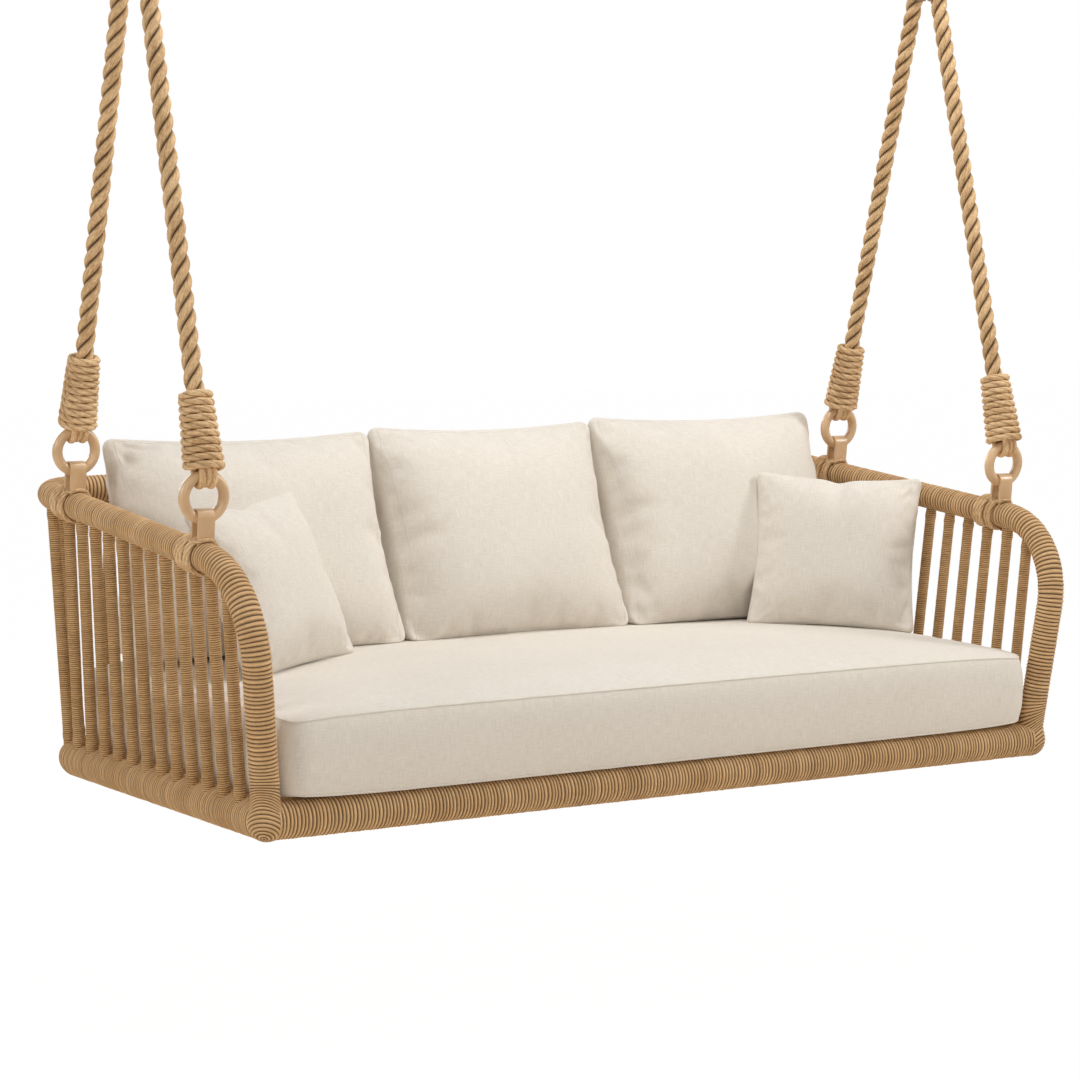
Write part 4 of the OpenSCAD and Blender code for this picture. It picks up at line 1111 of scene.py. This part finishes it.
# %% Two panels and a rim
class Form:
    """Two grids of points, front and rear, and the loops of points that join them round the rim."""

    def __init__(self, front, rear, rim_rows, rim_bulge, rim_power=2.0):
        m, n = front.shape[0] - 1, front.shape[1] - 1
        self.shape = (m, n)
        ring = [(0, i) for i in range(n)] + [(j, n) for j in range(m)]
        ring += [(m, i) for i in range(n, 0, -1)] + [(j, 0) for j in range(m, 0, -1)]
        count = (m + 1) * (n + 1)
        points = [front.reshape(-1, 3), rear.reshape(-1, 3)]
        index = [[j * (n + 1) + i for j, i in ring]]
        a = np.array([front[j, i] for j, i in ring])
        b = np.array([rear[j, i] for j, i in ring])
        centre = (a + b) / 2
        walk = np.roll(centre, -1, axis=0) - np.roll(centre, 1, axis=0)
        outward = unit(np.stack([walk[:, 2], np.zeros(len(walk)), -walk[:, 0]], -1))
        outward *= np.sign(np.sum(outward * (centre - centre.mean(0)), axis=1, keepdims=True))
        for k in range(1, rim_rows):
            f = k / rim_rows
            index.append(list(range(2 * count + (k - 1) * len(ring), 2 * count + k * len(ring))))
            points.append(a * (1 - f) + b * f + outward * rim_bulge * (1 - abs(2 * f - 1) ** rim_power))
        index.append([count + j * (n + 1) + i for j, i in ring])
        self.points = np.concatenate(points)
        self.rim = sorted(set(i for row in index for i in row))
        self.middle_rim = index[len(index) // 2]
        u, v = front[m // 2, :, 0] / 1000, front[:, n // 2, 2] / 1000
        faces, uvs = [], []
        for j in range(m):
            for i in range(n):
                p = j * (n + 1) + i
                square = [(u[i], v[j]), (u[i + 1], v[j]), (u[i + 1], v[j + 1]), (u[i], v[j + 1])]
                faces.append([p, p + 1, p + n + 2, p + n + 1])
                uvs += square
                faces.append([count + p + n + 1, count + p + n + 2, count + p + 1, count + p])
                uvs += [square[3], square[2], square[1], square[0]]
        walk = lengths(np.concatenate([a, a[:1]])) / 1000
        deep = np.linspace(0, np.linalg.norm(a - b, axis=1).mean() / 1000, rim_rows + 1)
        for k in range(rim_rows):
            for q in range(len(ring)):
                r = (q + 1) % len(ring)
                faces.append([index[k][q], index[k + 1][q], index[k + 1][r], index[k][r]])
                uvs += [(walk[q], deep[k]), (walk[q], deep[k + 1]),
                        (walk[q + 1], deep[k + 1]), (walk[q + 1], deep[k])]
        self.faces, self.uvs = faces, uvs


across, up = np.meshgrid(spread(2), spread(2))
flat = np.stack([across, 0 * across, up], -1)
print("panels of 2 by 2 faces make a form of", len(Form(flat, flat + [0, 1, 0], 3, 0.0).faces), "faces")

# %% [markdown]
# A sewn corner is never quite sharp. The cloth that a panel needs for its full middle is too
# much at the corners, and gathers there in soft folds that run inwards.

# %% Corners and creases
def rounded_corners(x, z, w, h, r):
    """Draws the corners of a rectangle of points in to a radius."""
    dx = np.clip((np.abs(x) - (w / 2 - r)) / r, 0, 1)
    dz = np.clip((np.abs(z) - (h / 2 - r)) / r, 0, 1)
    corner = (dx > 0) & (dz > 0)
    return (np.where(corner, np.sign(x) * (w / 2 - r + r * dx * np.sqrt(1 - dz ** 2 / 2)), x),
            np.where(corner, np.sign(z) * (h / 2 - r + r * dz * np.sqrt(1 - dx ** 2 / 2)), z))


def corner_creases(u, v, w, h, depth, seed, lower=0.5):
    """Soft folds that run in from the corners, where the fullness of a panel is gathered."""
    rng = np.random.default_rng(seed)
    total = np.zeros_like(u)
    for cu in (-1, 1):
        for cv in (-1, 1):
            dx, dz = (1 - cu * u) * w / 2, (1 - cv * v) * h / 2
            far, turn = np.hypot(dx, dz), np.arctan2(dz, dx)
            size = depth * (1 if cv > 0 else lower)
            for _ in range(4):
                at, wide = rng.uniform(0.25, 1.3), rng.uniform(0.07, 0.13)
                reach = rng.uniform(70, 150)
                fade = np.exp(-((far - reach * 0.5) / (reach * 0.5)) ** 2)
                fade = fade * (1 - np.exp(-(far / 30) ** 2))
                total += size * rng.uniform(0.4, 1.0) * fade * np.exp(-((turn - at) / wide) ** 2)
    return total


folds = corner_creases(*np.meshgrid(spread(20), spread(20)), 590, 440, 4.0, 1)
print("the deepest fold of a panel is", folds.max().round(1), "mm")

# %% [markdown]
# One function makes the back cushions and the pillows. A back cushion is thick at its foot, a
# pillow has a knife edge all round and a dent in its top, and both have edges that draw in.

# %% The form of a cushion
def cushion_form(w, h, edge, foot, front, rear, pull, foot_pull, n, m, bias=0.0, tilt=0.0, chop=0.0,
                 crease=4.0, seed=1, round_r=26.0):
    """An upright cushion of a width and height, with n by m faces on each panel.

    It is edge thick at the rim and foot thick at the foot. The panels swell by front and rear,
    the rear one more towards the top with bias. pull and foot_pull draw the edges in between
    the corners, tilt slants the foot, chop dents the top edge and crease is how deep folds are.
    """
    u, v = np.meshgrid(spread(n), spread(m))
    grids = []
    for side in (-1, 1):
        half = edge / 2 + (foot - edge) / 2 * ((1 - v) / 2) ** 1.5
        swell = (front if side < 0 else rear * (1 + bias * v)) * crown(u) * crown(v)
        dent = np.exp(-(u / 0.13) ** 2) * ((1 + v) / 2) ** 6
        folds = corner_creases(u, v, w, h, crease, seed + side) * np.clip(crown(u) * crown(v) * 3, 0, 1)
        y = side * (half + swell * (1 - 0.35 * (chop > 0) * dent) - folds)
        x, z = rounded_corners(u * w / 2, v * h / 2, w, h, round_r)
        x = x - pull * u * (1 - v * v)
        z = z - v * np.where(v > 0, pull, foot_pull) * (1 - u * u)
        z = z + y * math.tan(math.radians(tilt)) * ((1 - v) / 2) ** 3
        grids.append(np.stack([x, y, z - chop * dent], -1))
    return Form(grids[0], grids[1], rim_rows=3, rim_bulge=min(5.0, edge * 0.25))


form = cushion_form(590, 440, edge=14, foot=110, front=88, rear=120, pull=14, foot_pull=0, n=30, m=24)
print("a cushion form of 30 by 24 has", len(form.faces), "faces")

# %% [markdown]
# A form is turned and set in its place. The points round its rim go into a vertex group, the
# seam, which the simulation will hold still.

# %% Placing a cushion
def turned(x=0.0, y=0.0, z=0.0):
    """A rotation by angles in degrees about X, then Y, then Z."""
    a, b, c = (math.radians(t) for t in (x, y, z))
    rx = np.array([[1, 0, 0], [0, math.cos(a), -math.sin(a)], [0, math.sin(a), math.cos(a)]])
    ry = np.array([[math.cos(b), 0, math.sin(b)], [0, 1, 0], [-math.sin(b), 0, math.cos(b)]])
    rz = np.array([[math.cos(c), -math.sin(c), 0], [math.sin(c), math.cos(c), 0], [0, 0, 1]])
    return rz @ ry @ rx


def cushion_piece(name, form, rotation, at, before=(0, 0, 0)):
    """One linen object from a form that is first moved by before, then turned and put in its place."""
    points = placed((form.points + np.asarray(before, float)) @ rotation.T + np.asarray(at, float))
    mesh = bpy.data.meshes.new(name)
    mesh.from_pydata(points.tolist(), [], form.faces)
    mesh.uv_layers.new(name="UVMap").data.foreach_set("uv", np.array(form.uvs).ravel())
    mesh.polygons.foreach_set("use_smooth", np.ones(len(form.faces), bool))
    mesh.materials.append(LINEN)
    piece = add_object(name, mesh)
    piece.vertex_groups.new(name="seam").add(form.rim, 1.0, "REPLACE")
    return piece


print("a turn of 15 degrees about X:", turned(x=-15).round(3).tolist())

# %% [markdown]
# The cloth modifier is played for a few frames, and its result is read, limited and written
# into the mesh, so no simulation is left in the file. Gravity is off, since only the pressure
# inside is wanted. The cushion is then smoothed once, so that no faces show.

# %% Stuffing
def stuff(piece, pressure, growth, cap, frames=20):
    """Cloth simulation with pressure and the seam held. Each point moves less than cap, in metres."""
    rest = np.array([v.co for v in piece.data.vertices])
    cloth = piece.modifiers.new("stuffing", "CLOTH")
    cloth.settings.quality = 6
    cloth.settings.mass = 0.3
    cloth.settings.tension_stiffness = cloth.settings.compression_stiffness = 18
    cloth.settings.shear_stiffness = 6
    cloth.settings.bending_stiffness = 0.25
    cloth.settings.use_pressure = True
    cloth.settings.uniform_pressure_force = pressure
    cloth.settings.shrink_min = -growth
    cloth.settings.vertex_group_mass = "seam"
    cloth.settings.effector_weights.gravity = 0
    cloth.collision_settings.use_collision = False
    scene = bpy.context.scene
    for f in range(1, frames + 1):
        scene.frame_set(f)
    moved = piece.evaluated_get(bpy.context.evaluated_depsgraph_get()).data
    now = np.array([v.co for v in moved.vertices])
    step = now - rest
    far = np.linalg.norm(step, axis=1, keepdims=True)
    step *= np.where(far > 0, cap * np.tanh(far / cap) / np.maximum(far, 1e-9), 1)
    piece.modifiers.remove(cloth)
    scene.frame_set(1)
    piece.data.vertices.foreach_set("co", (rest + step).ravel())
    piece.data.update()
    kept = np.linalg.norm(step, axis=1).max()
    print(f"  {piece.name} moved {far.max() * 1000:.1f} mm at most, limited to {kept * 1000:.1f}")


def subdivide(piece):
    smooth = piece.modifiers.new("smooth", "SUBSURF")
    smooth.levels = smooth.render_levels = 1
    only_selected(piece)
    bpy.ops.object.modifier_apply(modifier="smooth")
    piece.select_set(False)


print("cushion helpers ready, quick is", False)

# %% [markdown]
# A seam shows as a narrow welt with a line of shade beside it. It is a thin tube that lies
# half in the cloth and follows the cushion's own surface, so it is made after the stuffing,
# from the moved points.

# %% Seams
def grid_points(piece, form, rear=False):
    """The points of the front or the rear panel, row by row."""
    m, n = form.shape
    count = (m + 1) * (n + 1)
    co = np.array([v.co for v in piece.data.vertices])
    return (co[count:2 * count] if rear else co[:count]).reshape(m + 1, n + 1, 3)


def seam_line(grid, inset_u=0.0, inset_v=0.0):
    """A closed line on a grid of surface points, a set part of the way in from its rim."""
    m, n = grid.shape[0] - 1, grid.shape[1] - 1
    cu, cv = inset_u * n, inset_v * m
    us = np.linspace(cu, n - cu, 4 * n)
    vs = np.linspace(cv, m - cv, 4 * m)
    route = [(cv, u) for u in us] + [(v, n - cu) for v in vs[1:]]
    route += [(m - cv, u) for u in us[::-1][1:]] + [(v, cu) for v in vs[::-1][1:-1]]
    route = np.array(route)
    j = np.floor(route[:, 0]).astype(int).clip(0, m - 1)
    i = np.floor(route[:, 1]).astype(int).clip(0, n - 1)
    fj, fi = (route[:, 0] - j)[:, None], (route[:, 1] - i)[:, None]
    return (grid[j, i] * (1 - fj) * (1 - fi) + grid[j, i + 1] * (1 - fj) * fi
            + grid[j + 1, i] * fj * (1 - fi) + grid[j + 1, i + 1] * fj * fi)


def on_surface(piece, line, lift=0.0):
    """The line's points moved to the nearest place on a piece, and lifted off it in metres."""
    hits = [piece.closest_point_on_mesh(tuple(p)) for p in line]
    return np.array([h[1] + h[2] * lift for h in hits])


def closed_tube(line, radius, sides=6):
    """A thin tube round a closed line in metres, as a part for make_piece."""
    closed = np.concatenate([line[-1:], line, line[:1]])
    way = unit(closed[2:] - closed[:-2])
    out = line - line.mean(0)
    e1 = square_to(way, out)
    rings = rings_round(line, radius, e1, np.cross(way, e1), sides)
    s = lengths(line)
    s = np.append(s, s[-1] + np.linalg.norm(line[0] - line[-1]))
    return sheath(np.concatenate([rings, rings[:1]]), s, 2 * math.pi * radius)


print("a closed tube of 20 points has", len(closed_tube(np.array(
    [[math.cos(a), math.sin(a), 0] for a in np.linspace(0, 6, 20)]), 0.1)[0]), "points")

# %% [markdown]
# The seat is one long boxed cushion: a strip of linen joins the top panel to the underside, and
# a welt covers each of the two seams. It lies on the deck bars between the rails.

# %% Seat cushion
SEAT_W, SEAT_DEEP, SEAT_THICK, SEAT_RISE = 1706.0, 875.0, 148.0, 34.0
SEAT_AT = [0, 409.5, BASE_R + 0.3 + SEAT_THICK / 2]
LAST_BAR_X = 815.0


def seat_form(n=84, m=50):
    """The long seat: a boxed cushion with rounded corners, a crowned top and a flat underside."""
    w, h, t = SEAT_W, SEAT_DEEP, SEAT_THICK
    u, v = np.meshgrid(spread(n), spread(m))
    x, z = rounded_corners(u * w / 2, v * h / 2, w, h, 42.0)
    x = x - 3.0 * u * (1 - v * v)
    z = z - 3.0 * v * (1 - u * u)
    rng = np.random.default_rng(5)
    waves = [rng.uniform(low, high, 7) for low, high in ((0.5, 1.6), (2, 9), (2, 7), (0, 6))]
    soft = sum(a * np.sin(p * u + q * v + f) for a, p, q, f in zip(*waves))
    full = (crown(u) * crown(v)) ** 0.84
    dip = 9.0 * np.abs(u * v) ** 9
    top = -(t / 2 - dip + SEAT_RISE * full + 0.9 * soft * full)
    # Between the last bar and the side rail nothing carries the underside, and it sags.
    past_bar = np.clip((np.abs(x) - LAST_BAR_X) / 22.0, 0, 1)
    sag = 11.0 * past_bar * np.clip((0.84 - np.abs(v)) / 0.08, 0, 1)
    under = t / 2 - dip + sag
    return Form(np.stack([x, top, z], -1), np.stack([x, under, z], -1), rim_rows=10, rim_bulge=10.0,
                rim_power=3.0)


seat_shape = seat_form()
seat = cushion_piece("seat_cushion_linen", seat_shape, turned(x=-90), SEAT_AT)
stuff(seat, pressure=1.5, growth=0.004, cap=0.004, frames=12)
seat_lines = [seam_line(grid_points(seat, seat_shape, rear)) for rear in (False, True)]
subdivide(seat)
seat_seams = [closed_tube(on_surface(seat, line), 0.0022) for line in seat_lines]
finish_piece(seat, "seat", "cream_fabric", "seat_cushion")
finish_piece(make_piece("seat_cushion_welts", seat_seams, LINEN), "seat", "cream_fabric")

# %% [markdown]
# The three back cushions stand on the seat and lean on the back rail. They are wide at the
# foot and thin at the top, and a little fuller behind, where they bulge over the rail.

# %% Back cushions
# The place across, the width, the height and the seed of each one. They lean back 15 degrees.
BACKS = {"left": (-561.3, 592, 436, 7), "middle": (8.0, 546, 444, 14), "right": (577.3, 592, 452, 21)}
BACK_Y, BACK_Z, BACK_LEAN = 633, 215.8, 15
BACK_SHAPE = dict(edge=14, foot=110, front=88, rear=120, pull=14, foot_pull=0, n=46, m=38, bias=0.5,
                  tilt=BACK_LEAN)

for side, (x, w, h, seed) in BACKS.items():
    form = cushion_form(w, h, seed=seed, **BACK_SHAPE)
    piece = cushion_piece(f"back_cushion_linen_{side}", form, turned(x=-BACK_LEAN), [x, BACK_Y, BACK_Z],
                          before=(0, 0, h / 2))
    stuff(piece, pressure=4.0, growth=0.035, cap=0.010)
    line = seam_line(grid_points(piece, form), inset_u=0.06, inset_v=0.022)
    subdivide(piece)
    welt = closed_tube(on_surface(piece, line, 0.0001), 0.0008)
    body = f"back_cushion_{side}"
    finish_piece(piece, body, "cream_fabric", body)
    finish_piece(make_piece(f"back_cushion_welt_{side}", [welt], LINEN), body, "cream_fabric")

# %% [markdown]
# The loose pillows are the same on both faces, with a knife edge and peaked corners. Each one
# leans in its corner and is turned towards the middle of the seat.

# %% Loose pillows
# The place and the turn about each axis.
PILLOWS = {"left": ([-640, 452.5, 365], (-23, -3, 28)), "right": ([711, 431, 366], (-21, 2, -41.5))}
PILLOW_SHAPE = dict(edge=14, foot=14, front=53, rear=53, pull=12, foot_pull=12, n=40, m=40, chop=8.0,
                    crease=3.0, seed=51, round_r=12.0)

for side, (at, turn) in PILLOWS.items():
    form = cushion_form(350, 340, **PILLOW_SHAPE)
    piece = cushion_piece(f"throw_pillow_linen_{side}", form, turned(*turn), at)
    stuff(piece, pressure=4.0, growth=0.03, cap=0.008)
    seam = closed_tube(np.array([piece.data.vertices[i].co for i in form.middle_rim]), 0.0016)
    subdivide(piece)
    body = f"throw_pillow_{side}"
    finish_piece(piece, body, "cream_fabric", body)
    finish_piece(make_piece(f"throw_pillow_seam_{side}", [seam], LINEN), body, "cream_fabric")

# %% [markdown]
# ## Floor, backdrop and light
# The sofa hangs in a white studio. The floor lies well below it and is almost white to the
# camera, yet it keeps a faint shadow. Five large soft lamps and an even white world light
# the cords and the linen, so that a colour comes out about as it is written.

# %% Floor
FLOOR_Z = float(placed([0, 0, -450])[2])
bpy.ops.mesh.primitive_plane_add(size=60, location=(0, 0, FLOOR_Z))
floor = bpy.context.object
floor.name = "studio_floor"
floor.data.transform(floor.matrix_world)
floor.matrix_world.identity()
floor_paint, tree, shader = new_material("studio_floor", 0.9)
shader.inputs["Base Color"].default_value = (0.94, 0.86, 0.76, 1)
rays = add_node(tree, "ShaderNodeLightPath")
seen = math_node(tree, "MULTIPLY", rays.outputs["Is Camera Ray"], 0.975)
white = add_node(tree, "ShaderNodeEmission", {"Color": (1, 1, 1, 1), "Strength": 1.012})
both = add_node(tree, "ShaderNodeMixShader", {0: seen, 1: shader.outputs[0], 2: white.outputs[0]})
tree.links.new(both.outputs[0], tree.nodes["Material Output"].inputs["Surface"])
floor.data.materials.append(floor_paint)
floor.select_set(False)
floor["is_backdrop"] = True
print("floor at", round(FLOOR_Z, 3))

# %% [markdown]
# The world is white where the camera, a mirror or a clear thing looks at it, and dimmer where
# it only lights the sofa, so the lamps can give the shading. The key lamp stands to the right.
# The side lamp draws the round of the left arm's slats, and the back lamp lights the back rail.

# %% World and lamps
AMBIENT = 0.25
world = bpy.data.worlds.new("studio")
world.use_nodes = True
bpy.context.scene.world = world
tree = world.node_tree
back = tree.nodes["Background"]
rays = add_node(tree, "ShaderNodeLightPath")
seen = math_node(tree, "MAXIMUM", rays.outputs["Is Camera Ray"], rays.outputs["Is Glossy Ray"])
seen = math_node(tree, "MAXIMUM", seen, rays.outputs["Is Transmission Ray"])
tree.links.new(scaled_plus(tree, seen, 1 - AMBIENT, AMBIENT), back.inputs["Strength"])
back.inputs["Color"].default_value = (1, 1, 1, 1)


def lamp(name, at, towards, size, power):
    """A round soft lamp at one point of the drawing that shines towards another."""
    data = bpy.data.lights.new(name, "AREA")
    data.shape, data.size, data.energy = "DISK", size, power
    piece = add_object(name, data)
    at, towards = placed(at), placed(towards)
    piece.location = at
    piece.rotation_euler = Vector(towards - at).to_track_quat("-Z", "Y").to_euler()


lamp("key", [3850, -2250, 2900], [0, 300, 250], size=1.5, power=94)
lamp("top", [200, -100, 3300], [0, 400, 250], size=2.0, power=55)
lamp("back", [-900, 4600, 1900], [0, 700, 250], size=2.0, power=62)
lamp("side", [-4000, 100, 1500], [-700, 300, 250], size=1.2, power=32)
lamp("front", [-2400, -3900, 1500], [0, 300, 250], size=2.0, power=27)
bpy.context.scene.view_settings.view_transform = "Standard"

# %% [markdown]
# ## The size against the construction model
# The dressed sofa is meant to keep the size of the construction model. Both boxes are measured,
# and how far the dressed one stands proud of the other on each side is printed.

# %% Sizes against the construction model
DRESSED_BOX = [list(corner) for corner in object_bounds()]
for axis in range(3):
    low, high = CAD_BOX[0][axis] - DRESSED_BOX[0][axis], DRESSED_BOX[1][axis] - CAD_BOX[1][axis]
    print("XYZ"[axis], "stands proud by", round(low * 1000, 1), "and", round(high * 1000, 1), "mm")
